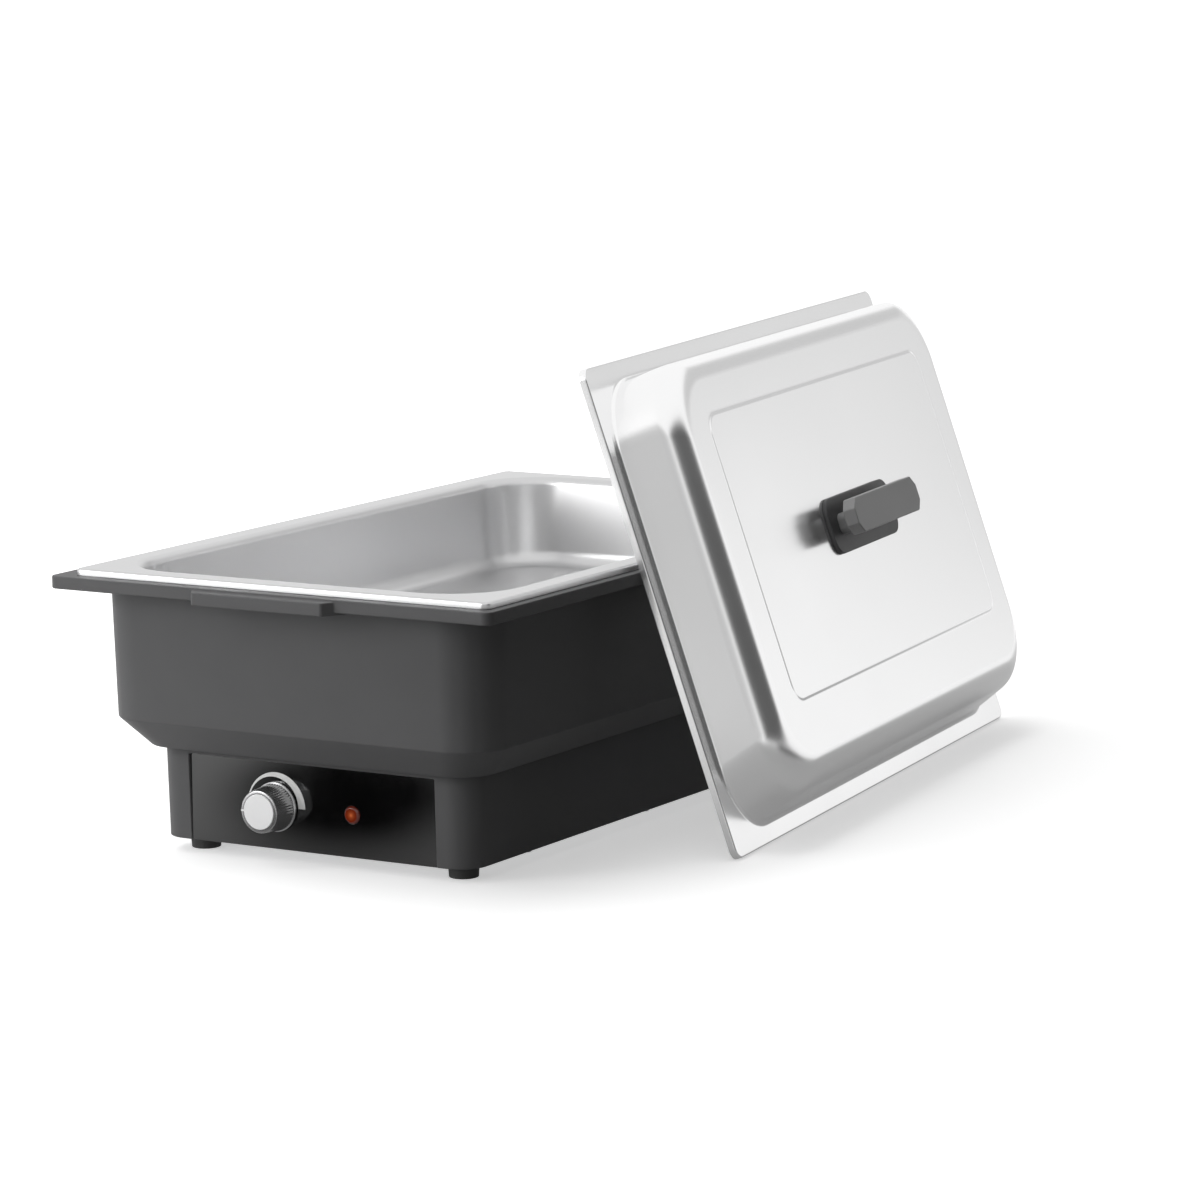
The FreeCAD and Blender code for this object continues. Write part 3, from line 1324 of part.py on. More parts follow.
def handle_grip():
    """The grip: an eight-sided bar, bevelled on its outer edges, moulded in one with its two posts."""
    low = f"{FIELD_TOP} + handle_plate_thickness + grip_gap"

    def octagon(body, name, set_in, level):
        """The bar's outline, set in by a distance."""
        x, y, c = f"(bar_length / 2 - {set_in})", f"(bar_width / 2 - {set_in})", "bar_corner"
        corners = [
            (f"-({x} - {c})", f"-{y} + field_shift"), (f"{x} - {c}", f"-{y} + field_shift"),
            (x, f"-({y} - {c}) + field_shift"), (x, f"{y} - {c} + field_shift"),
            (f"{x} - {c}", f"{y} + field_shift"), (f"-({x} - {c})", f"{y} + field_shift"),
            (f"-{x}", f"{y} - {c} + field_shift"), (f"-{x}", f"-({y} - {c}) + field_shift"),
        ]
        return polygon_outline(body, name, corners, level)

    body = new_body("grip_bar")
    lower = octagon(body, "grip_bar_lower", "0", low)
    waist = octagon(body, "grip_bar_waist", "0", f"{low} + bar_thickness - bar_bevel")
    upper = octagon(body, "grip_bar_upper", "bar_bevel", f"{low} + bar_thickness")
    loft = body.newObject("PartDesign::AdditiveLoft", "grip_bar_loft")
    loft.Profile = lower
    loft.Sections = [waist, upper]
    loft.Ruled = True
    document.recompute()
    posts = [
        box(f"grip_post_{i}", "post_length", "post_width", "grip_gap + 1", x, y,
            f"{FIELD_TOP} + handle_plate_thickness")
        for i, (x, y) in enumerate(HANDLE_POSTS)
    ]
    pilots = [
        cylinder(f"grip_pilot_{i}", "handle_screw_radius", "handle_screw_depth", x, y,
                 f"{FIELD_TOP} + handle_plate_thickness - 1")
        for i, (x, y) in enumerate(HANDLE_POSTS)
    ]
    keep_on_lid("handle_grip", cut("handle_grip", join("grip_solid", [body] + posts), pilots))


def handle_fasteners():
    """The two screws that come through the lid from inside, and their washers."""
    screws = []
    washers = []
    seat = f"{FIELD_TOP} - lid_sheet"
    for i, (x, y) in enumerate(HANDLE_POSTS):
        disc = cylinder(f"washer_disc_{i}", "washer_radius", "washer_thickness", x, y,
                        f"{seat} - washer_thickness")
        bore = cylinder(f"washer_bore_{i}", "handle_screw_radius + screw_gap", "drill_length", x, y,
                        f"{seat} - 4")
        washers.append(cut(f"washer_{i}", disc, [bore]))
        head = cylinder(f"handle_head_{i}", "handle_screw_radius + 2.2", "screw_head_height", x, y,
                        f"{seat} - washer_thickness - screw_head_height")
        length = "washer_thickness + lid_sheet + handle_plate_thickness + handle_screw_depth - 3"
        shank = cylinder(f"handle_shank_{i}", "handle_screw_radius", length, x, y,
                         f"{seat} - washer_thickness")
        screws.append(join(f"handle_screw_{i}", [head, shank]))
    keep_on_lid("handle_screws", group("handle_screws", screws))
    keep_on_lid("handle_washers", group("handle_washers", washers))


# The whole dish
upper_housing()
lower_base()
housing_screws()
bottom_plate()
bottom_screws()
feet()
water_tank()
tank_seal()
heat_plate()
heating_element()
reflector_tray()
tray_spacers()
tank_nuts()
thermal_cutout()
control_panel()
panel_scale()
pilot_lamp()
thermostat()
thermostat_shaft()
knob()
cord_gland()
terminal_block()
internal_wires()
gn_pan()
lid_shell()
handle_plate()
handle_grip()
handle_fasteners()

document.recompute()

for thing in document.Objects:
    if "Invalid" in thing.State or "Error" in thing.State:
        raise RuntimeError(f"{thing.Name} did not compute: {thing.State}")
for part in PARTS:
    if part.Shape.isNull() or not part.Shape.isValid() or not part.Shape.Solids:
        raise RuntimeError(f"{part.Label} has no valid solid")

os.makedirs("parts", exist_ok=True)
for part in PARTS:
    part.Shape.exportStep(f"parts/{part.Label}.step")
    print(part.Label, len(part.Shape.Solids), round(part.Shape.Volume, 1))
print("lid origin", lid_placement().Base, "lid outward", lid_axes()[2])
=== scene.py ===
import json
import math

import bmesh
import bpy
from mathutils import Matrix, Vector


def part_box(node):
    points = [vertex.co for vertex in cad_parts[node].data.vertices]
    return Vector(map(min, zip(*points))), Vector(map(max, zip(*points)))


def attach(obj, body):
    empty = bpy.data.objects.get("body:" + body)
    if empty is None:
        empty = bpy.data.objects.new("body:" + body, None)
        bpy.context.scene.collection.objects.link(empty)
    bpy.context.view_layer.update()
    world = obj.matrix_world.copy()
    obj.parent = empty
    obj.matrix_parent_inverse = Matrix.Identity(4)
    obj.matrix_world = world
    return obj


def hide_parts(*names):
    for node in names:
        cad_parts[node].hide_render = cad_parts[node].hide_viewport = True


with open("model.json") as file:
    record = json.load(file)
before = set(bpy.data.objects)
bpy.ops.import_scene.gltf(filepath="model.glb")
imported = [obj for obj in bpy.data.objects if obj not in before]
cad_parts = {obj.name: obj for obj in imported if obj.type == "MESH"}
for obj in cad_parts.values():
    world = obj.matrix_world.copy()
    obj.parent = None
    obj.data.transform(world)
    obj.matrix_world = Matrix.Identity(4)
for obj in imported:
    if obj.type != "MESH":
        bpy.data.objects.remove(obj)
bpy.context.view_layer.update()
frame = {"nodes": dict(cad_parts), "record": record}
nodes = frame["nodes"]
MM = 0.001

# Camera, fitted to the pan's rim and the housing's corners
CAMERA_PLACE = (1.8382, -2.8398, 0.6911)
CAMERA_YAW, CAMERA_PITCH, CAMERA_ROLL = (math.radians(angle) for angle in (-31.688, 9.188, 0.908))
CAMERA_LENS, SENSOR_WIDTH, CAMERA_REACH = 148.57, 36, 50


def place_camera():
    ahead = Vector((
        math.sin(CAMERA_YAW) * math.cos(CAMERA_PITCH),
        math.cos(CAMERA_YAW) * math.cos(CAMERA_PITCH),
        -math.sin(CAMERA_PITCH),
    ))
    right = Vector((math.cos(CAMERA_YAW), -math.sin(CAMERA_YAW), 0))
    down = ahead.cross(right)
    turned_right = right * math.cos(CAMERA_ROLL) + down * math.sin(CAMERA_ROLL)
    turned_down = down * math.cos(CAMERA_ROLL) - right * math.sin(CAMERA_ROLL)
    data = bpy.data.cameras.new("photo_camera")
    data.lens = CAMERA_LENS
    data.sensor_width = SENSOR_WIDTH
    data.clip_end = CAMERA_REACH
    camera = bpy.data.objects.new("photo_camera", data)
    bpy.context.scene.collection.objects.link(camera)
    axes = Matrix((turned_right, -turned_down, -ahead)).transposed()
    camera.matrix_world = Matrix.Translation(CAMERA_PLACE) @ axes.to_4x4()
    bpy.context.scene.camera = camera


place_camera()


# Shader building

def input_named(node, name):
    """The socket in use, of those that a node keeps under one name."""
    return [socket for socket in node.inputs if socket.name == name and socket.enabled][0]


class Shader:
    """A node tree with short ways to add nodes and join them."""

    def __init__(self, tree):
        self.tree = tree

    def add(self, kind, **settings):
        node = self.tree.nodes.new("ShaderNode" + kind)
        for name, value in settings.items():
            setattr(node, name, value)
        return node

    def join(self, source, target):
        self.tree.links.new(source, target)

    def set_inputs(self, node, **values):
        for name, value in values.items():
            input_named(node, name.replace("_", " ")).default_value = value
        return node


def effect_group(name, inputs, output):
    """An empty shader node group with named float inputs and one float output."""
    tree = bpy.data.node_groups.new(name, "ShaderNodeTree")
    tree.interface.new_socket("Coordinates", in_out="INPUT", socket_type="NodeSocketVector")
    for label, value in inputs.items():
        socket = tree.interface.new_socket(label, in_out="INPUT", socket_type="NodeSocketFloat")
        socket.default_value = value
    tree.interface.new_socket(output, in_out="OUTPUT", socket_type="NodeSocketFloat")
    shader = Shader(tree)
    return tree, shader, tree.nodes.new("NodeGroupInput"), tree.nodes.new("NodeGroupOutput")


def noise_at(shader, entry, coordinates, detail, roughness):
    """Noise over some coordinates, at the size that its group is given."""
    noise = shader.set_inputs(shader.add("TexNoise"), Detail=detail, Roughness=roughness)
    shader.join(coordinates, noise.inputs["Vector"])
    shader.join(entry.outputs["Size"], noise.inputs["Scale"])
    return noise.outputs["Fac"]


# Most of a noise's values lie between these two
NOISE_LOW, NOISE_HIGH = 0.3, 0.7


def make_mottle():
    """Cloudy variation: a value that goes an amount to each side of its middle."""
    inputs = {"Size": 40.0, "Amount": 0.1, "Middle": 0.5}
    tree, shader, entry, end = effect_group("mottle", inputs, "Value")
    noise = noise_at(shader, entry, entry.outputs["Coordinates"], detail=4.0, roughness=0.55)
    low = shader.add("Math", operation="SUBTRACT")
    high = shader.add("Math", operation="ADD")
    for node in (low, high):
        shader.join(entry.outputs["Middle"], node.inputs[0])
        shader.join(entry.outputs["Amount"], node.inputs[1])
    spread = shader.set_inputs(shader.add("MapRange"), From_Min=NOISE_LOW, From_Max=NOISE_HIGH)
    shader.join(noise, spread.inputs["Value"])
    shader.join(low.outputs[0], spread.inputs["To Min"])
    shader.join(high.outputs[0], spread.inputs["To Max"])
    shader.join(spread.outputs[0], end.inputs["Value"])
    return tree


def make_grain():
    """The fine even grain of a spark-eroded mould: a height for a bump."""
    tree, shader, entry, end = effect_group("moulded_grain", {"Size": 1400.0}, "Height")
    noise = noise_at(shader, entry, entry.outputs["Coordinates"], detail=3.0, roughness=0.7)
    shader.join(noise, end.inputs["Height"])
    return tree


def make_brushing():
    """Fine lines along local X: a height for a bump."""
    inputs = {"Size": 900.0, "Stretch": 0.02}
    tree, shader, entry, end = effect_group("brushed_lines", inputs, "Height")
    stretch = shader.set_inputs(shader.add("CombineXYZ"), Y=1.0, Z=1.0)
    shader.join(entry.outputs["Stretch"], stretch.inputs["X"])
    stretched = shader.add("VectorMath", operation="MULTIPLY")
    shader.join(entry.outputs["Coordinates"], stretched.inputs[0])
    shader.join(stretch.outputs[0], stretched.inputs[1])
    noise = noise_at(shader, entry, stretched.outputs[0], detail=2.0, roughness=0.6)
    shader.join(noise, end.inputs["Height"])
    return tree


MOTTLE, GRAIN, BRUSHING = make_mottle(), make_grain(), make_brushing()


class Material(Shader):
    """A Principled material that reads Object coordinates, turned to follow its piece."""

    def __init__(self, name, colour, roughness, metallic=0.0, turn=(0, 0, 0), **constants):
        self.made = bpy.data.materials.new(name)
        self.made.use_nodes = True
        super().__init__(self.made.node_tree)
        self.colour, self.roughness = colour, roughness
        self.surface = self.made.node_tree.nodes["Principled BSDF"]
        self.surface.inputs["Base Color"].default_value = (*colour, 1)
        self.set_inputs(self.surface, Roughness=roughness, Metallic=metallic, **constants)
        place = self.add("TexCoord")
        mapping = self.add("Mapping")
        mapping.inputs["Rotation"].default_value = turn
        self.join(place.outputs["Object"], mapping.inputs["Vector"])
        self.coordinates = mapping.outputs["Vector"]

    def group(self, tree, **values):
        node = self.add("Group", node_tree=tree)
        self.join(self.coordinates, node.inputs["Coordinates"])
        for label, value in values.items():
            node.inputs[label].default_value = value
        return node

    def mottled_roughness(self, size, amount):
        node = self.group(MOTTLE, Size=size, Amount=amount, Middle=self.roughness)
        self.join(node.outputs["Value"], self.surface.inputs["Roughness"])
        return self

    def mottled_colour(self, size, amount):
        """Lightens and darkens the colour by a share, in soft clouds."""
        node = self.group(MOTTLE, Size=size, Amount=amount, Middle=1.0)
        tone = self.add("VectorMath", operation="SCALE")
        tone.inputs[0].default_value = self.colour
        self.join(node.outputs["Value"], tone.inputs["Scale"])
        self.join(tone.outputs["Vector"], self.surface.inputs["Base Color"])
        return self

    def bumped(self, tree, strength, depth, **values):
        """Gives the surface a fine relief from a pattern of heights."""
        node = self.group(tree, **values)
        bump = self.set_inputs(self.add("Bump"), Strength=strength, Distance=depth)
        self.join(node.outputs["Height"], bump.inputs["Height"])
        self.join(bump.outputs["Normal"], self.surface.inputs["Normal"])
        return self


# The lid's own frame: X along its length, Y up its width, Z out of its dome
LID_TURN, LID_SLOPE = math.radians(8.32), math.radians(18.31)
LID_ALONG = Vector((-math.sin(LID_TURN), math.cos(LID_TURN), 0))
LID_OUT = Vector((
    math.cos(LID_TURN) * math.cos(LID_SLOPE),
    math.sin(LID_TURN) * math.cos(LID_SLOPE),
    math.sin(LID_SLOPE),
))
LID_UP = LID_OUT.cross(LID_ALONG)
LID_PLACE = Vector((148.924, 177.4, 162.014)) * MM
LID_AXES = Matrix((LID_ALONG, LID_UP, LID_OUT)).transposed()
LID_MATRIX = Matrix.Translation(LID_PLACE) @ LID_AXES.to_4x4()
# Turns that lay the brushing along the lid's length, and along the pan's
ALONG_LID = LID_AXES.transposed().to_euler("XYZ")
ALONG_PAN = (0, 0, math.radians(90))


# Finishes, where a pattern's size counts its cells in a metre

def moulded(name, colour, roughness, grain=0.25, sheen=0.5):
    """Moulded plastic with a fine grain."""
    material = Material(name, colour, roughness, Specular_IOR_Level=sheen)
    material.mottled_roughness(size=18, amount=0.05).mottled_colour(size=9, amount=0.06)
    return material.bumped(GRAIN, strength=grain, depth=0.12 * MM, Size=1500)


def satin_steel(name, colour, roughness, turn=(0, 0, 0), lines=0.12, metallic=1.0):
    """Satin metal sheet with faint lines along its length."""
    material = Material(name, colour, roughness, metallic=metallic, turn=turn)
    material.mottled_roughness(size=7, amount=0.03)
    return material.bumped(BRUSHING, strength=lines, depth=0.02 * MM, Size=1600, Stretch=0.015)


def gloss_sheet(name, colour, roughness):
    """Polished dark sheet."""
    material = Material(name, colour, roughness, Specular_IOR_Level=1.0)
    return material.mottled_roughness(size=30, amount=0.03)


# The lamp lens's glow, from its middle out to its edge
LENS_GLOW = (
    (0.0, (0.42, 0.10, 0.03)),
    (0.3, (0.16, 0.03, 0.008)),
    (0.62, (0.07, 0.006, 0.0)),
    (1.0, (0.01, 0.0, 0.0)),
)


def amber_lens():
    """An amber lamp lens that glows from its middle."""
    low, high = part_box("pilot_lens")
    material = Material("amber_lens", (0.10, 0.012, 0.004), 0.12, Coat_Weight=0.3)
    from_middle = material.add("VectorMath", operation="DISTANCE")
    from_middle.inputs[1].default_value = ((low.x + high.x) / 2, low.y, (low.z + high.z) / 2)
    reach = material.add("Math", operation="DIVIDE")
    reach.inputs[1].default_value = (high.x - low.x) / 2
    ramp = material.add("ValToRGB")
    stops = ramp.color_ramp.elements
    while len(stops) < len(LENS_GLOW):
        stops.new(0.5)
    for stop, (where, colour) in zip(stops, LENS_GLOW):
        stop.position = where
        stop.color = (*colour, 1)
    material.join(material.coordinates, from_middle.inputs[0])
    material.join(from_middle.outputs["Value"], reach.inputs[0])
    material.join(reach.outputs[0], ramp.inputs["Fac"])
    material.join(ramp.outputs["Color"], material.surface.inputs["Emission Color"])
    material.set_inputs(material.surface, Emission_Strength=1.0)
    return material


MATERIALS = {
    "housing_plastic": moulded("charcoal_moulding", (0.120, 0.120, 0.122), 0.5, sheen=0.08),
    "control_plastic": moulded(
        "black_moulding", (0.024, 0.024, 0.025), 0.34, grain=0.1, sheen=0.8),
    "handle_plastic": moulded("handle_moulding", (0.065, 0.065, 0.067), 0.45),
    # The handle's own plastic made lighter on the bar: painted sheen of the light on the bar's face
    "bar_painted_sheen": moulded("bar_painted_sheen", (0.32, 0.32, 0.322), 0.34),
    "phenolic": moulded("brown_phenolic", (0.10, 0.06, 0.04), 0.45),
    "block_plastic": moulded("cream_plastic", (0.62, 0.58, 0.48), 0.5),
    "foot_rubber": moulded("foot_rubber", (0.05, 0.05, 0.05), 0.7),
    "wire_sleeve": moulded("silicone_sleeve", (0.55, 0.53, 0.48), 0.6),
    "seal_silicone": moulded("silicone_seal", (0.42, 0.10, 0.06), 0.55),
    "white_print": moulded("white_print", (0.85, 0.85, 0.84), 0.45, grain=0.1),
    "stainless": satin_steel("satin_stainless", (0.65, 0.65, 0.654), 0.34, turn=ALONG_PAN),
    "lid_stainless": satin_steel("lid_stainless", (0.94, 0.94, 0.942), 0.2, turn=ALONG_LID),
    "fastener_steel": satin_steel("zinc_plated", (0.58, 0.58, 0.60), 0.34),
    "bottom_steel": satin_steel("galvanised_sheet", (0.46, 0.47, 0.48), 0.42),
    "aluminium_plate": satin_steel("mill_aluminium", (0.78, 0.78, 0.79), 0.38),
    "element_steel": satin_steel("heat_darkened_steel", (0.20, 0.18, 0.16), 0.45),
    "sensor_copper": satin_steel("plain_copper", (0.72, 0.36, 0.20), 0.32),
    "brushed_cap": satin_steel(
        "brushed_cap", (0.97, 0.97, 0.975), 0.33, lines=0.5, metallic=0.12),
    "knob_gloss": satin_steel(
        "knob_gloss", (0.50, 0.50, 0.505), 0.2, lines=0.3, metallic=0.85),
    "panel_gloss": gloss_sheet("gloss_panel", (0.003, 0.003, 0.0032), 0.1),
    "amber_lens": amber_lens(),
}
SLOT_OF = {entry["node"]: entry["material_slot"] for entry in frame["record"]["subparts"]}


def give_finish(obj, finish):
    obj.data.materials.clear()
    obj.data.materials.append(MATERIALS[finish].made)


for name, node in nodes.items():
    give_finish(node, SLOT_OF[name])


# Finishing pieces

# Faces that meet at more than these degrees keep a sharp edge in their shading
CAD_SMOOTH, MOULDING_SMOOTH, SHEET_SMOOTH = 25, 30, 60
# Edges where faces meet at more than these degrees are rounded
ROUNDED_ABOVE, ROUNDED_SEGMENTS = 38, 2
# Weight of a large face over its rounded edges in the shading
FLAT_WEIGHT = 80
# Metres within which a CAD node's points are one, and degrees within which its faces are one
WELD_WITHIN, FLAT_WITHIN = 2e-6, 0.5


def object_from(name, bm):
    """Turns a bmesh into an object at the origin."""
    mesh = bpy.data.meshes.new(name)
    bm.to_mesh(mesh)
    bm.free()
    made = bpy.data.objects.new(name, mesh)
    bpy.context.scene.collection.objects.link(made)
    return made


def add_piece(name, bm, body, node, finish=None):
    """Makes a bmesh into a piece that rides on a body and stands for a CAD node."""
    piece = object_from(name, bm)
    slot = SLOT_OF[node]
    give_finish(piece, finish or slot)
    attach(piece, body)
    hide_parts(node)
    return piece


def smooth_by_angle(bm, degrees):
    """Smooth shading, with edges kept sharp where faces meet at more than an angle."""
    limit = math.radians(degrees)
    for face in bm.faces:
        face.smooth = True
    for edge in bm.edges:
        edge.smooth = len(edge.link_faces) == 2 and edge.calc_face_angle(0) < limit


def even_normals(piece):
    """Large faces stay flat beside their rounded edges."""
    modifier = piece.modifiers.new("even_normals", "WEIGHTED_NORMAL")
    modifier.keep_sharp = True
    modifier.weight = FLAT_WEIGHT


def rounded_edges(piece, width):
    """Rounds a piece's edges, by a width in millimetres."""
    modifier = piece.modifiers.new("rounded_edges", "BEVEL")
    modifier.width = width * MM
    modifier.segments = ROUNDED_SEGMENTS
    modifier.limit_method = "ANGLE"
    modifier.angle_limit = math.radians(ROUNDED_ABOVE)
    modifier.use_clamp_overlap = False
    modifier.harden_normals = False
    modifier.miter_outer = "MITER_ARC"


def refined(node, name, body, edge=0.0):
    """A CAD node's own shape as one welded skin, its edges rounded or else shaded sharp."""
    bm = bmesh.new()
    bm.from_mesh(nodes[node].data)
    bmesh.ops.remove_doubles(bm, verts=bm.verts, dist=WELD_WITHIN)
    bmesh.ops.dissolve_limit(
        bm, angle_limit=math.radians(FLAT_WITHIN), verts=bm.verts, edges=bm.edges)
    smooth_by_angle(bm, CAD_SMOOTH)
    if edge:
        for line in bm.edges:
            line.smooth = True
    piece = add_piece(name, bm, body, node)
    if edge:
        rounded_edges(piece, edge)
    even_normals(piece)


# Pressed sheet shells, with their sizes in millimetres

SHEET = 0.8
CORNER_STEPS = 14
# Metres between rings while they are joined
RING_SPREAD = 0.125


def each_once(items):
    """Items without repeats, in the order that they are met, so that every run is the same."""
    return list(dict.fromkeys(items))


def ring(bm, length, width, corner, level, shift):
    """A rectangle with round corners, as a closed loop of edges round one face."""
    made = bmesh.ops.create_grid(bm, x_segments=1, y_segments=1, size=0.5)
    corners = made["verts"]
    bmesh.ops.scale(bm, vec=(length, width, 1), verts=corners)
    bmesh.ops.translate(bm, vec=(0, shift, level), verts=corners)
    before = set(bm.verts) - set(corners)
    bmesh.ops.bevel(
        bm, geom=corners, offset=corner, offset_type="OFFSET", segments=CORNER_STEPS,
        profile=0.5, affect="VERTICES", clamp_overlap=False, material=-1)
    loop = [vertex for vertex in bm.verts if vertex not in before]
    edges = each_once(edge for vertex in loop for edge in vertex.link_edges)
    faces = each_once(face for vertex in loop for face in vertex.link_faces)
    return edges, faces


def bridge(bm, rings, spread):
    """Joins rings of edges in turn, each drawn apart from the next meanwhile to meet squarely."""
    outlines = [each_once(vertex for edge in edges for vertex in edge.verts) for edges in rings]
    for place, outline in enumerate(outlines):
        bmesh.ops.translate(bm, vec=(0, 0, place * spread), verts=outline)
    for here, there in zip(rings, rings[1:]):
        bmesh.ops.bridge_loops(bm, edges=here + there)
    for place, outline in enumerate(outlines):
        bmesh.ops.translate(bm, vec=(0, 0, -place * spread), verts=outline)


def pressed(stations):
    """A skin through stations, each a length, width, corner, level and shift."""
    bm = bmesh.new()
    rings = [ring(bm, *[value * MM for value in station]) for station in stations]
    open_faces = [face for edges, faces in rings[:-1] for face in faces]
    bmesh.ops.delete(bm, geom=open_faces, context="FACES_ONLY")
    bridge(bm, [edges for edges, faces in rings], RING_SPREAD)
    bmesh.ops.recalc_face_normals(bm, faces=bm.faces)
    return bm


def arc(start, end, steps):
    """Angles in radians from a start to an end, both included."""
    return [math.radians(start + (end - start) * step / steps) for step in range(steps + 1)]


def inset_station(length, width, corner, inset, level):
    """A station drawn in by an inset on every side."""
    return (length - 2 * inset, width - 2 * inset, corner - inset, level, 0.0)


def turned_edge(length, width, corner, top, edge, drop, steps):
    """Stations up a sheet's turned-down edge and over its small round to the flat."""
    stations = [inset_station(length, width, corner, 0.0, top - drop)]
    for angle in arc(0, 90, steps):
        inset = edge * (1 - math.cos(angle))
        level = top - edge + edge * math.sin(angle)
        stations.append(inset_station(length, width, corner, inset, level))
    return stations


def add_sheet(name, bm, body, node, finish=None):
    """A pressed skin as a piece with the thickness of its sheet."""
    smooth_by_angle(bm, SHEET_SMOOTH)
    piece = add_piece(name, bm, body, node, finish)
    modifier = piece.modifiers.new("sheet", "SOLIDIFY")
    modifier.thickness = SHEET * MM
    modifier.offset = -1
    modifier.use_even_offset = True
    even_normals(piece)


# Lid sizes, and two shares: where the foot's round starts, and how a corner shrinks with its inset
LID_LENGTH, LID_WIDTH, LID_CORNER, LID_SKIRT, LID_EDGE = 543.0, 338.0, 8.0, 5.0, 1.2
DOME_LENGTH, DOME_WIDTH, DOME_CORNER, DOME_HEIGHT = 515.0, 310.0, 48.0, 45.0
DOME_RUN, DOME_ROUND, DOME_LEAN, DOME_FOOT = 8.0, 16.0, 9.5, 3.0
FOOT_START, DOME_CORNER_SHARE = 0.85, 0.35
FLAT_MARGIN = 1.5
FIELD_LENGTH, FIELD_WIDTH, FIELD_CORNER = 407.0, 197.0, 12.0
FIELD_RISE, FIELD_BEVEL, FIELD_SHIFT, FIELD_STEPS = 0.7, 3.0, 15.5, 6


def lid_stations():
    """The lid's outer skin from the skirt's edge to the raised field."""
    stations = turned_edge(LID_LENGTH, LID_WIDTH, LID_CORNER, 0.0, LID_EDGE, LID_SKIRT, steps=5)

    def on_dome(inset, level):
        lean = DOME_LEAN * max(level, 0.0) / DOME_HEIGHT
        corner = DOME_CORNER - DOME_CORNER_SHARE * inset
        stations.append((DOME_LENGTH - 2 * inset, DOME_WIDTH - 2 * inset, corner, level, lean))

    def beside_field(grow, rise):
        stations.append((
            FIELD_LENGTH + 2 * grow, FIELD_WIDTH + 2 * grow, FIELD_CORNER + grow,
            DOME_HEIGHT + rise, FIELD_SHIFT))

    slope = math.degrees(math.atan(DOME_RUN / DOME_HEIGHT))
    for angle in arc(0, 90 - slope, steps=6):
        inset = -DOME_FOOT * FOOT_START + DOME_FOOT * math.sin(angle)
        on_dome(inset, DOME_FOOT * (1 - math.cos(angle)))
    for angle in arc(0, 90, steps=12):
        level = DOME_HEIGHT - DOME_ROUND + DOME_ROUND * math.sin(angle)
        on_dome(DOME_RUN * level / DOME_HEIGHT + DOME_ROUND * (1 - math.cos(angle)), level)
    on_dome(DOME_RUN + DOME_ROUND + FLAT_MARGIN, DOME_HEIGHT)
    beside_field(FIELD_BEVEL + FLAT_MARGIN, 0.0)
    for step in range(FIELD_STEPS + 1):
        share = step / FIELD_STEPS
        beside_field(FIELD_BEVEL * (1 - share), FIELD_RISE * (3 * share ** 2 - 2 * share ** 3))
    return stations


def make_lid():
    bm = pressed(lid_stations())
    bmesh.ops.transform(bm, matrix=LID_MATRIX, verts=bm.verts)
    add_sheet("lid_pressing", bm, "lid", "lid_shell", "lid_stainless")


# Food pan sizes, and its draft in degrees
PAN_LENGTH, PAN_WIDTH, PAN_CORNER, PAN_TOP = 530.0, 325.0, 5.0, 194.2
PAN_LIP, PAN_EDGE = 4.4, 2.0
PAN_PLACE = Vector((4.0, -2.0, 0.0)) * MM
WELL_LENGTH, WELL_WIDTH, WELL_CORNER, WELL_DEPTH = 489.4, 284.4, 43.2, 64.2
WELL_DRAFT, WELL_MOUTH, WELL_ROUND = 3.5, 6.0, 12.0


def pan_stations():
    """The pan's upper skin from its lip's edge over the rim and down to its floor."""
    stations = turned_edge(
        PAN_LENGTH, PAN_WIDTH, PAN_CORNER, PAN_TOP, PAN_EDGE, PAN_LIP, steps=6)

    def on_wall(inset, level):
        stations.append(inset_station(WELL_LENGTH, WELL_WIDTH, WELL_CORNER, inset, level))

    for angle in arc(0, 90 - WELL_DRAFT, steps=7):
        fall = WELL_MOUTH * (1 - math.cos(angle))
        on_wall(-WELL_MOUTH + WELL_MOUTH * math.sin(angle), PAN_TOP - fall)
    floor_level = PAN_TOP - WELL_DEPTH
    wall_inset = math.tan(math.radians(WELL_DRAFT)) * (PAN_TOP - floor_level - WELL_ROUND)
    for angle in arc(WELL_DRAFT, 90, steps=10):
        level = floor_level + WELL_ROUND * (1 - math.sin(angle))
        on_wall(wall_inset + WELL_ROUND * (1 - math.cos(angle)), level)
    return stations


def make_pan():
    bm = pressed(pan_stations())
    quarter = Matrix.Rotation(math.radians(90), 3, "Z")
    bmesh.ops.rotate(bm, cent=(0, 0, 0), matrix=quarter, verts=bm.verts)
    bmesh.ops.translate(bm, vec=PAN_PLACE, verts=bm.verts)
    floor = max(bm.faces, key=lambda face: face.calc_area())
    if floor.normal.z < 0:
        bmesh.ops.reverse_faces(bm, faces=bm.faces)
    add_sheet("food_pan", bm, "pan", "gn_pan")


# Handle sizes, in millimetres
PLATE_LENGTH, PLATE_WIDTH, PLATE_THICKNESS, PLATE_CORNER = 125.0, 40.0, 3.0, 12.0
BAR_LENGTH, BAR_WIDTH, BAR_THICKNESS, BAR_CORNER = 125.0, 25.0, 9.5, 7.0
BAR_TOP, BAR_LIFT = 69.4, 3.0
POST_LENGTH, POST_WIDTH, POST_SPREAD, POST_CORNER = 18.0, 15.0, 78.0, 5.0
POST_IN_PLATE, POST_IN_BAR = 0.5, 1.0
FIELD_TOP = DOME_HEIGHT + FIELD_RISE
PLATE_ROUND_STEPS, BAR_CUT_STEPS, POST_ROUND_STEPS = 8, 1, 5
HANDLE_EDGE = 0.7


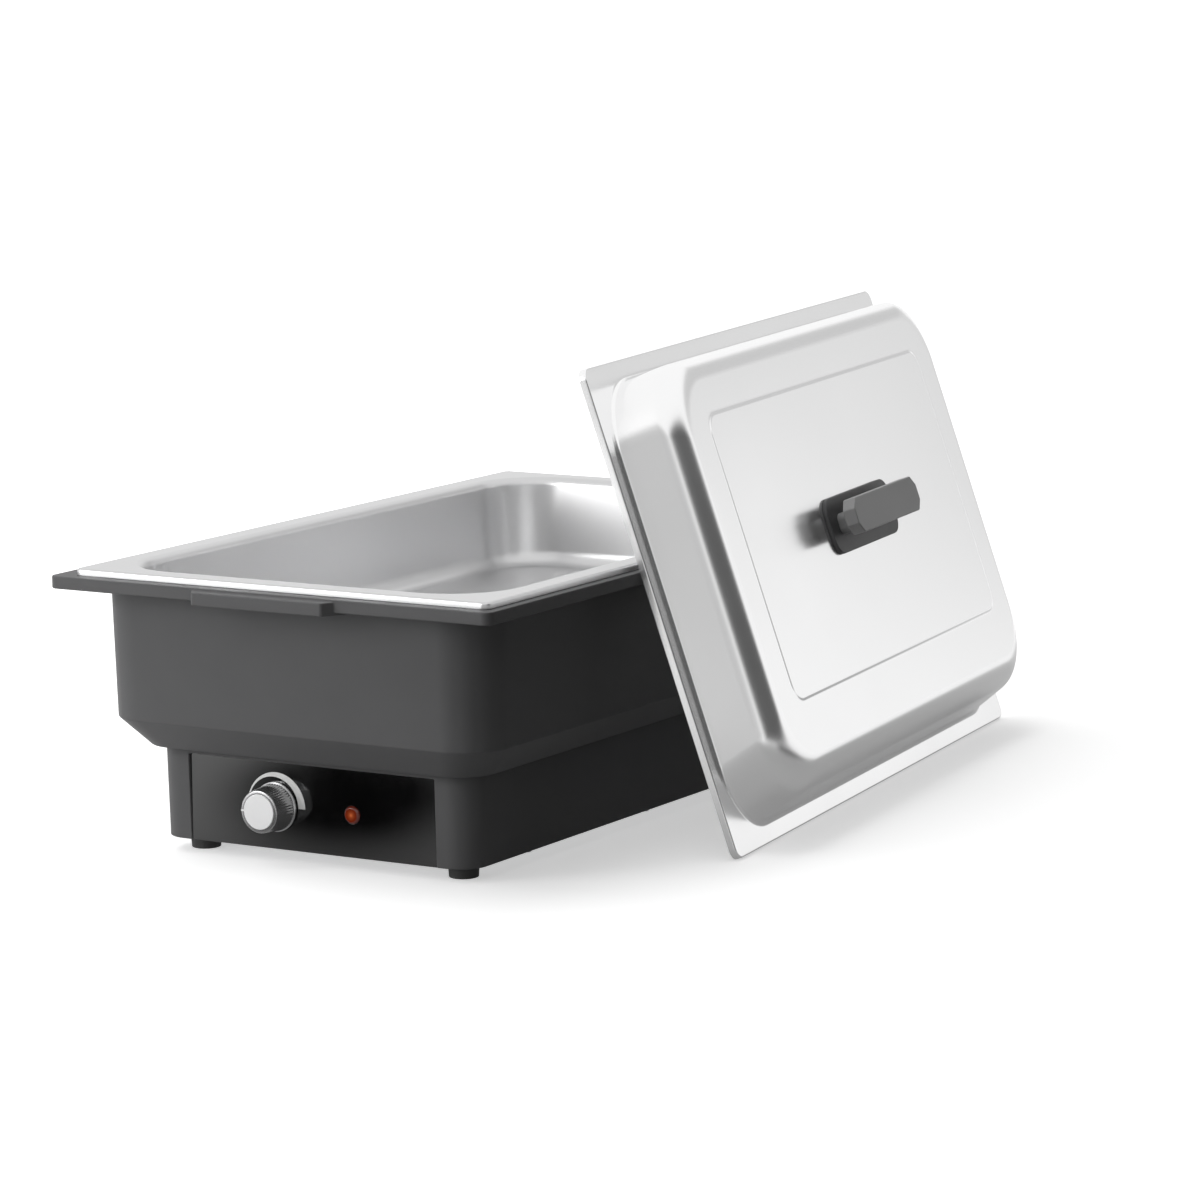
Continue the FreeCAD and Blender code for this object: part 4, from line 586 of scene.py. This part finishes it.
def block(bm, centre, size, corner, segments):
    """A block in the lid's frame with its four upright edges cut or rounded."""
    verts = bmesh.ops.create_cube(bm, size=1)["verts"]
    bmesh.ops.scale(bm, vec=Vector(size) * MM, verts=verts)
    upright = [
        edge for edge in each_once(edge for vertex in verts for edge in vertex.link_edges)
        if abs((edge.verts[0].co - edge.verts[1].co).normalized().z) > 0.9
    ]
    before = set(bm.verts) - set(verts)
    bmesh.ops.bevel(
        bm, geom=upright, offset=corner * MM, offset_type="OFFSET", segments=segments,
        profile=0.5, affect="EDGES", clamp_overlap=False, material=-1)
    new = [vertex for vertex in bm.verts if vertex not in before]
    place = LID_MATRIX @ Matrix.Translation(Vector(centre) * MM)
    bmesh.ops.transform(bm, matrix=place, verts=new)


def add_handle_piece(name, bm, node, finish=None):
    """A part of the lid's handle, with its edges rounded."""
    smooth_by_angle(bm, MOULDING_SMOOTH)
    piece = add_piece(name, bm, "lid", node, finish)
    rounded_edges(piece, HANDLE_EDGE)
    even_normals(piece)


def make_handle():
    """A plate on the lid's field, and a bar with cut corners on two posts."""
    bm = bmesh.new()
    middle = (0, FIELD_SHIFT, FIELD_TOP + PLATE_THICKNESS / 2)
    size = (PLATE_LENGTH, PLATE_WIDTH, PLATE_THICKNESS)
    block(bm, middle, size, PLATE_CORNER, PLATE_ROUND_STEPS)
    add_handle_piece("handle_base", bm, "handle_plate")
    bm = bmesh.new()
    middle = (0, FIELD_SHIFT + BAR_LIFT, BAR_TOP - BAR_THICKNESS / 2)
    block(bm, middle, (BAR_LENGTH, BAR_WIDTH, BAR_THICKNESS), BAR_CORNER, BAR_CUT_STEPS)
    foot = FIELD_TOP + PLATE_THICKNESS - POST_IN_PLATE
    top = BAR_TOP - BAR_THICKNESS + POST_IN_BAR
    for side in (-1, 1):
        middle = (side * POST_SPREAD / 2, FIELD_SHIFT, (foot + top) / 2)
        block(bm, middle, (POST_LENGTH, POST_WIDTH, top - foot), POST_CORNER, POST_ROUND_STEPS)
    # The bar takes the handle's plastic made lighter, a painted sheen of light on its face
    add_handle_piece("handle_bar", bm, "handle_grip", "bar_painted_sheen")


# Knob sizes, in millimetres, with levels counted forwards from its back
KNOB_LENGTH, KNOB_SKIRT, KNOB_BACK, KNOB_FRONT, KNOB_EDGE = 19.5, 16.6, 15.9, 14.5, 0.9
KNOB_RIBS, RIB_DEPTH, SKIRT_LENGTH, SKIRT_STEP = 54, 0.45, 1.4, 0.5
CAP_SEAT, CAP_SEAT_DEPTH = 11.9, 1.1
MARK_LENGTH, MARK_WIDTH, MARK_DEPTH, MARK_PROUD, MARK_EDGE = 2.4, 1.4, 0.9, 0.12, 0.2
# Metres between the knob's rings while they are joined
KNOB_SPREAD = 0.03


def knob_ring(bm, radius, level, rib):
    """A circle of edges round Z, with every other vertex drawn in by a rib's depth."""
    circle = bmesh.ops.create_circle(bm, segments=2 * KNOB_RIBS, radius=radius * MM)
    outline = circle["verts"]
    inwards = (radius - rib) / radius
    bmesh.ops.scale(bm, vec=(inwards, inwards, 1), verts=outline[::2])
    bmesh.ops.translate(bm, vec=(0, 0, level * MM), verts=outline)
    return each_once(edge for vertex in outline for edge in vertex.link_edges)


def make_knob():
    """A ribbed knob with a skirt and a seat for its cap, and the mark at its front's edge."""
    low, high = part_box("knob_body")
    place = Matrix.Translation(((low.x + high.x) / 2, high.y, (low.z + high.z) / 2))
    place = place @ Matrix.Rotation(math.radians(90), 4, "X")
    stations = [
        (KNOB_SKIRT, 0.0, 0.0),
        (KNOB_SKIRT, SKIRT_LENGTH, 0.0),
        (KNOB_BACK, SKIRT_LENGTH + SKIRT_STEP, RIB_DEPTH),
    ]
    for angle in arc(0, 90, steps=4):
        inset = KNOB_EDGE * (1 - math.cos(angle))
        level = KNOB_LENGTH - KNOB_EDGE * (1 - math.sin(angle))
        stations.append((KNOB_FRONT - inset, level, RIB_DEPTH * math.cos(angle)))
    stations += [(CAP_SEAT, KNOB_LENGTH, 0.0), (CAP_SEAT, KNOB_LENGTH - CAP_SEAT_DEPTH, 0.0)]
    bm = bmesh.new()
    rings = [knob_ring(bm, *station) for station in stations]
    bridge(bm, rings, KNOB_SPREAD)
    for end in (rings[0], rings[-1]):
        bmesh.ops.edgeloop_fill(bm, edges=end)
    bmesh.ops.recalc_face_normals(bm, faces=bm.faces)
    bmesh.ops.transform(bm, matrix=place, verts=bm.verts)
    smooth_by_angle(bm, MOULDING_SMOOTH)
    add_piece("knob_moulding", bm, "knob", "knob_body", "knob_gloss")
    bm = bmesh.new()
    mark = bmesh.ops.create_cube(bm, size=1)["verts"]
    bmesh.ops.scale(bm, vec=Vector((MARK_LENGTH, MARK_WIDTH, MARK_DEPTH)) * MM, verts=mark)
    middle = (-CAP_SEAT - MARK_LENGTH / 2, 0, KNOB_LENGTH + MARK_PROUD - MARK_DEPTH / 2)
    mark_place = place @ Matrix.Translation(Vector(middle) * MM)
    bmesh.ops.transform(bm, matrix=mark_place, verts=mark)
    piece = add_piece("knob_mark", bm, "knob", "knob_pointer")
    rounded_edges(piece, MARK_EDGE)
    even_normals(piece)


make_lid()
make_pan()
make_handle()
make_knob()
# Pieces with the CAD's own shape, and the width of their rounded edges in millimetres
refined("upper_housing", "housing_moulding", "dish", 0.8)
refined("lower_base", "base_moulding", "dish", 0.7)
refined("control_panel", "gloss_panel_sheet", "dish", 0.15)
refined("water_tank", "water_basin", "dish")
refined("cord_gland", "lead_gland", "dish", 0.4)
refined("knob_cap", "knob_cap_disc", "knob", 0.25)
refined("pilot_lens", "lamp_lens", "dish", 0.2)
for corner in ("front_left", "front_right", "rear_left", "rear_right"):
    refined("foot_" + corner, "rubber_foot_" + corner, "dish", 0.5)


# Floor, backdrop and light

# Floor: half its width, and its tone to the camera
FLOOR_REACH, FLOOR_TONE = 30, 0.90
# Its tone for the light that it throws on the dish, left of the first X and right of the second
BOUNCE_FROM, BOUNCE_TO, LEFT_BOUNCE, RIGHT_BOUNCE = -0.35, 0.45, 0.95, 0.18
# Its own glow within the first distance, the same in reflections, and beyond the second distance
GLOW_FROM, GLOW_TO, NEAR_GLOW, MIRRORED_GLOW, FAR_GLOW = 0.55, 1.7, 0.46, 0.22, 0.85
# World: the side that lights the dish, and the strength away from that side and on it
WORLD_FACING = Vector((-0.85, -0.42, 0.42)).normalized()
WORLD_FROM, WORLD_TO, WORLD_DIM, WORLD_BRIGHT = -0.5, 0.8, 0.01, 0.72
# Lamps: name, place, aim, size and power in watts
LAMPS = (
    ("front_left_softbox", (-1.2, -1.6, 0.8), (0, 0, 0.1), (1.0, 1.0), 10),
    ("overhead_softbox", (-0.75, -0.1, 2.2), (0, 0.1, 0.1), (2.0, 2.0), 28),
)
# Cards: name, place, aim, size, tone, share of the reach that fades out, and roll in degrees
CARDS = (
    ("right_card", (2.6, -0.1, 0.78), (0.2, -0.1, 0.78), (6.0, 2.6), 0.10, 0.5, 0),
    ("front_card", (0.35, -1.5, 0.35), (0.25, 0.1, 0.2), (2.6, 1.3), 0.55, 0.5, 0),
    ("rear_card", (0.9, 3.6, 1.6), (0.2, 0.1, 0.3), (4.0, 2.2), 0.6, 0.5, 0),
    ("rear_left_card", (0.43, 3.3, 0.43), (0.15, 0.3, 0.25), (1.4, 1.1), 0.66, 0.8, 0),
    ("left_front_card", (-1.2, -1.9, 0.75), (0, 0.2, 0.15), (1.6, 1.5), 8.5, 0.5, 0),
    ("low_right_card", (0.95, 0.35, 0.006), (0.95, 0.35, 1.0), (1.0, 1.0), 0.04, 0.45, 0),
    ("low_front_card", (-0.108, -0.428, 0.004), (-0.108, -0.428, 1.0), (0.24, 0.6), 0.0, 0.65, 35.1),
)


def blank_shader(owner):
    """An empty node tree for a stage material or the world."""
    owner.use_nodes = True
    owner.node_tree.nodes.clear()
    return Shader(owner.node_tree)


def seen_directly(shader):
    """One for a camera, glossy or transmission ray, and nought for a diffuse one."""
    light = shader.add("LightPath")
    either = shader.add("Math", operation="MAXIMUM")
    shader.join(light.outputs["Is Camera Ray"], either.inputs[0])
    shader.join(light.outputs["Is Glossy Ray"], either.inputs[1])
    any_ray = shader.add("Math", operation="MAXIMUM")
    shader.join(either.outputs[0], any_ray.inputs[0])
    shader.join(light.outputs["Is Transmission Ray"], any_ray.inputs[1])
    return any_ray.outputs[0]


def by_camera(shader, seen, otherwise):
    """One value where the camera looks, and another for every other ray."""
    light = shader.add("LightPath")
    choice = shader.add("Mix", data_type="FLOAT")
    shader.join(light.outputs["Is Camera Ray"], choice.inputs["Factor"])
    return shader.set_inputs(choice, A=otherwise, B=seen)


def floor_material():
    """A pale surface that takes shadows near the dish and fades to plain white round it."""
    made = bpy.data.materials.new("pale_floor")
    shader = blank_shader(made)
    place = shader.add("TexCoord")
    apart = shader.add("SeparateXYZ")
    shader.join(place.outputs["Object"], apart.inputs[0])
    bounce = shader.set_inputs(
        shader.add("MapRange", interpolation_type="SMOOTHSTEP"),
        From_Min=BOUNCE_FROM, From_Max=BOUNCE_TO, To_Min=LEFT_BOUNCE, To_Max=RIGHT_BOUNCE)
    shader.join(apart.outputs["X"], bounce.inputs["Value"])
    tone = by_camera(shader, FLOOR_TONE, 0.0)
    shader.join(bounce.outputs["Result"], tone.inputs["A"])
    diffuse = shader.add("BsdfDiffuse")
    shader.join(tone.outputs["Result"], diffuse.inputs["Color"])
    reach = shader.add("VectorMath", operation="LENGTH")
    shader.join(place.outputs["Object"], reach.inputs[0])
    glow = shader.set_inputs(
        shader.add("MapRange", interpolation_type="SMOOTHSTEP"),
        From_Min=GLOW_FROM, From_Max=GLOW_TO, To_Max=FAR_GLOW)
    near = by_camera(shader, NEAR_GLOW, MIRRORED_GLOW)
    shader.join(near.outputs["Result"], glow.inputs["To Min"])
    shader.join(reach.outputs["Value"], glow.inputs["Value"])
    strength = shader.add("Math", operation="MULTIPLY")
    shader.join(seen_directly(shader), strength.inputs[0])
    shader.join(glow.outputs["Result"], strength.inputs[1])
    shine = shader.add("Emission")
    shader.join(strength.outputs[0], shine.inputs["Strength"])
    both = shader.add("AddShader")
    shader.join(diffuse.outputs[0], both.inputs[0])
    shader.join(shine.outputs[0], both.inputs[1])
    output = shader.add("OutputMaterial")
    shader.join(both.outputs[0], output.inputs["Surface"])
    return made


def make_floor():
    bm = bmesh.new()
    bmesh.ops.create_grid(bm, x_segments=1, y_segments=1, size=FLOOR_REACH)
    floor = object_from("pale_floor", bm)
    floor.data.materials.append(floor_material())


def make_world():
    """A studio that is white to look at, and lights the dish mostly from its left and above."""
    world = bpy.data.worlds.new("studio")
    bpy.context.scene.world = world
    shader = blank_shader(world)
    place = shader.add("TexCoord")
    facing = shader.add("VectorMath", operation="DOT_PRODUCT")
    facing.inputs[1].default_value = WORLD_FACING
    shader.join(place.outputs["Generated"], facing.inputs[0])
    soft = shader.set_inputs(
        shader.add("MapRange", interpolation_type="SMOOTHSTEP"),
        From_Min=WORLD_FROM, From_Max=WORLD_TO, To_Min=WORLD_DIM, To_Max=WORLD_BRIGHT)
    shader.join(facing.outputs["Value"], soft.inputs["Value"])
    strength = shader.set_inputs(shader.add("Mix", data_type="FLOAT"), B=1.0)
    shader.join(seen_directly(shader), strength.inputs["Factor"])
    shader.join(soft.outputs["Result"], strength.inputs["A"])
    background = shader.set_inputs(shader.add("Background"), Color=(1, 1, 1, 1))
    shader.join(strength.outputs["Result"], background.inputs["Strength"])
    output = shader.add("OutputWorld")
    shader.join(background.outputs[0], output.inputs["Surface"])


def area_light(name, place, aim, size, power):
    data = bpy.data.lights.new(name, "AREA")
    data.shape = "RECTANGLE"
    data.size, data.size_y = size
    data.energy = power
    lamp = bpy.data.objects.new(name, data)
    bpy.context.scene.collection.objects.link(lamp)
    lamp.location = place
    lamp.rotation_euler = (Vector(aim) - Vector(place)).to_track_quat("-Z", "Y").to_euler()
    lamp.visible_glossy = False


def card_material(name, place, turn, size, tone, soft):
    """A glow that is even in a card's middle and fades out towards its edges."""
    made = bpy.data.materials.new(name)
    shader = blank_shader(made)
    coordinates = shader.add("TexCoord")
    off_centre = shader.add("VectorMath", operation="SUBTRACT")
    off_centre.inputs[1].default_value = place
    shader.join(coordinates.outputs["Object"], off_centre.inputs[0])
    reach = shader.add("CombineXYZ")
    for axis, label in enumerate(("X", "Y")):
        share = shader.add("VectorMath", operation="DOT_PRODUCT")
        share.inputs[1].default_value = Vector(turn.col[axis][:3]) / size[axis] * 2
        shader.join(off_centre.outputs["Vector"], share.inputs[0])
        shader.join(share.outputs["Value"], reach.inputs[label])
    from_centre = shader.add("VectorMath", operation="LENGTH")
    shader.join(reach.outputs[0], from_centre.inputs[0])
    fade = shader.set_inputs(
        shader.add("MapRange", interpolation_type="SMOOTHSTEP"),
        From_Min=1 - soft, From_Max=1.0, To_Min=1.0, To_Max=0.0)
    shader.join(from_centre.outputs["Value"], fade.inputs["Value"])
    clear = shader.add("BsdfTransparent")
    shine = shader.set_inputs(shader.add("Emission"), Strength=tone)
    edge = shader.add("MixShader")
    shader.join(fade.outputs["Result"], edge.inputs["Fac"])
    shader.join(clear.outputs[0], edge.inputs[1])
    shader.join(shine.outputs[0], edge.inputs[2])
    output = shader.add("OutputMaterial")
    shader.join(edge.outputs[0], output.inputs["Surface"])
    return made


def studio_card(name, place, aim, size, tone, soft, roll):
    """A soft-edged studio card that only polished surfaces see."""
    bm = bmesh.new()
    bmesh.ops.create_grid(bm, x_segments=1, y_segments=1, size=0.5)
    bmesh.ops.scale(bm, vec=(*size, 1), verts=bm.verts)
    turn = (Vector(aim) - Vector(place)).to_track_quat("-Z", "Y").to_matrix().to_4x4()
    turn = turn @ Matrix.Rotation(math.radians(roll), 4, "Z")
    bmesh.ops.transform(bm, matrix=Matrix.Translation(place) @ turn, verts=bm.verts)
    card = object_from(name, bm)
    card.data.materials.append(card_material(name, place, turn, size, tone, soft))
    for ray in ("camera", "diffuse", "shadow", "transmission", "volume_scatter"):
        setattr(card, "visible_" + ray, False)


make_floor()
make_world()
for lamp in LAMPS:
    area_light(*lamp)
for card in CARDS:
    studio_card(*card)

bpy.context.scene.view_settings.view_transform = "Standard"
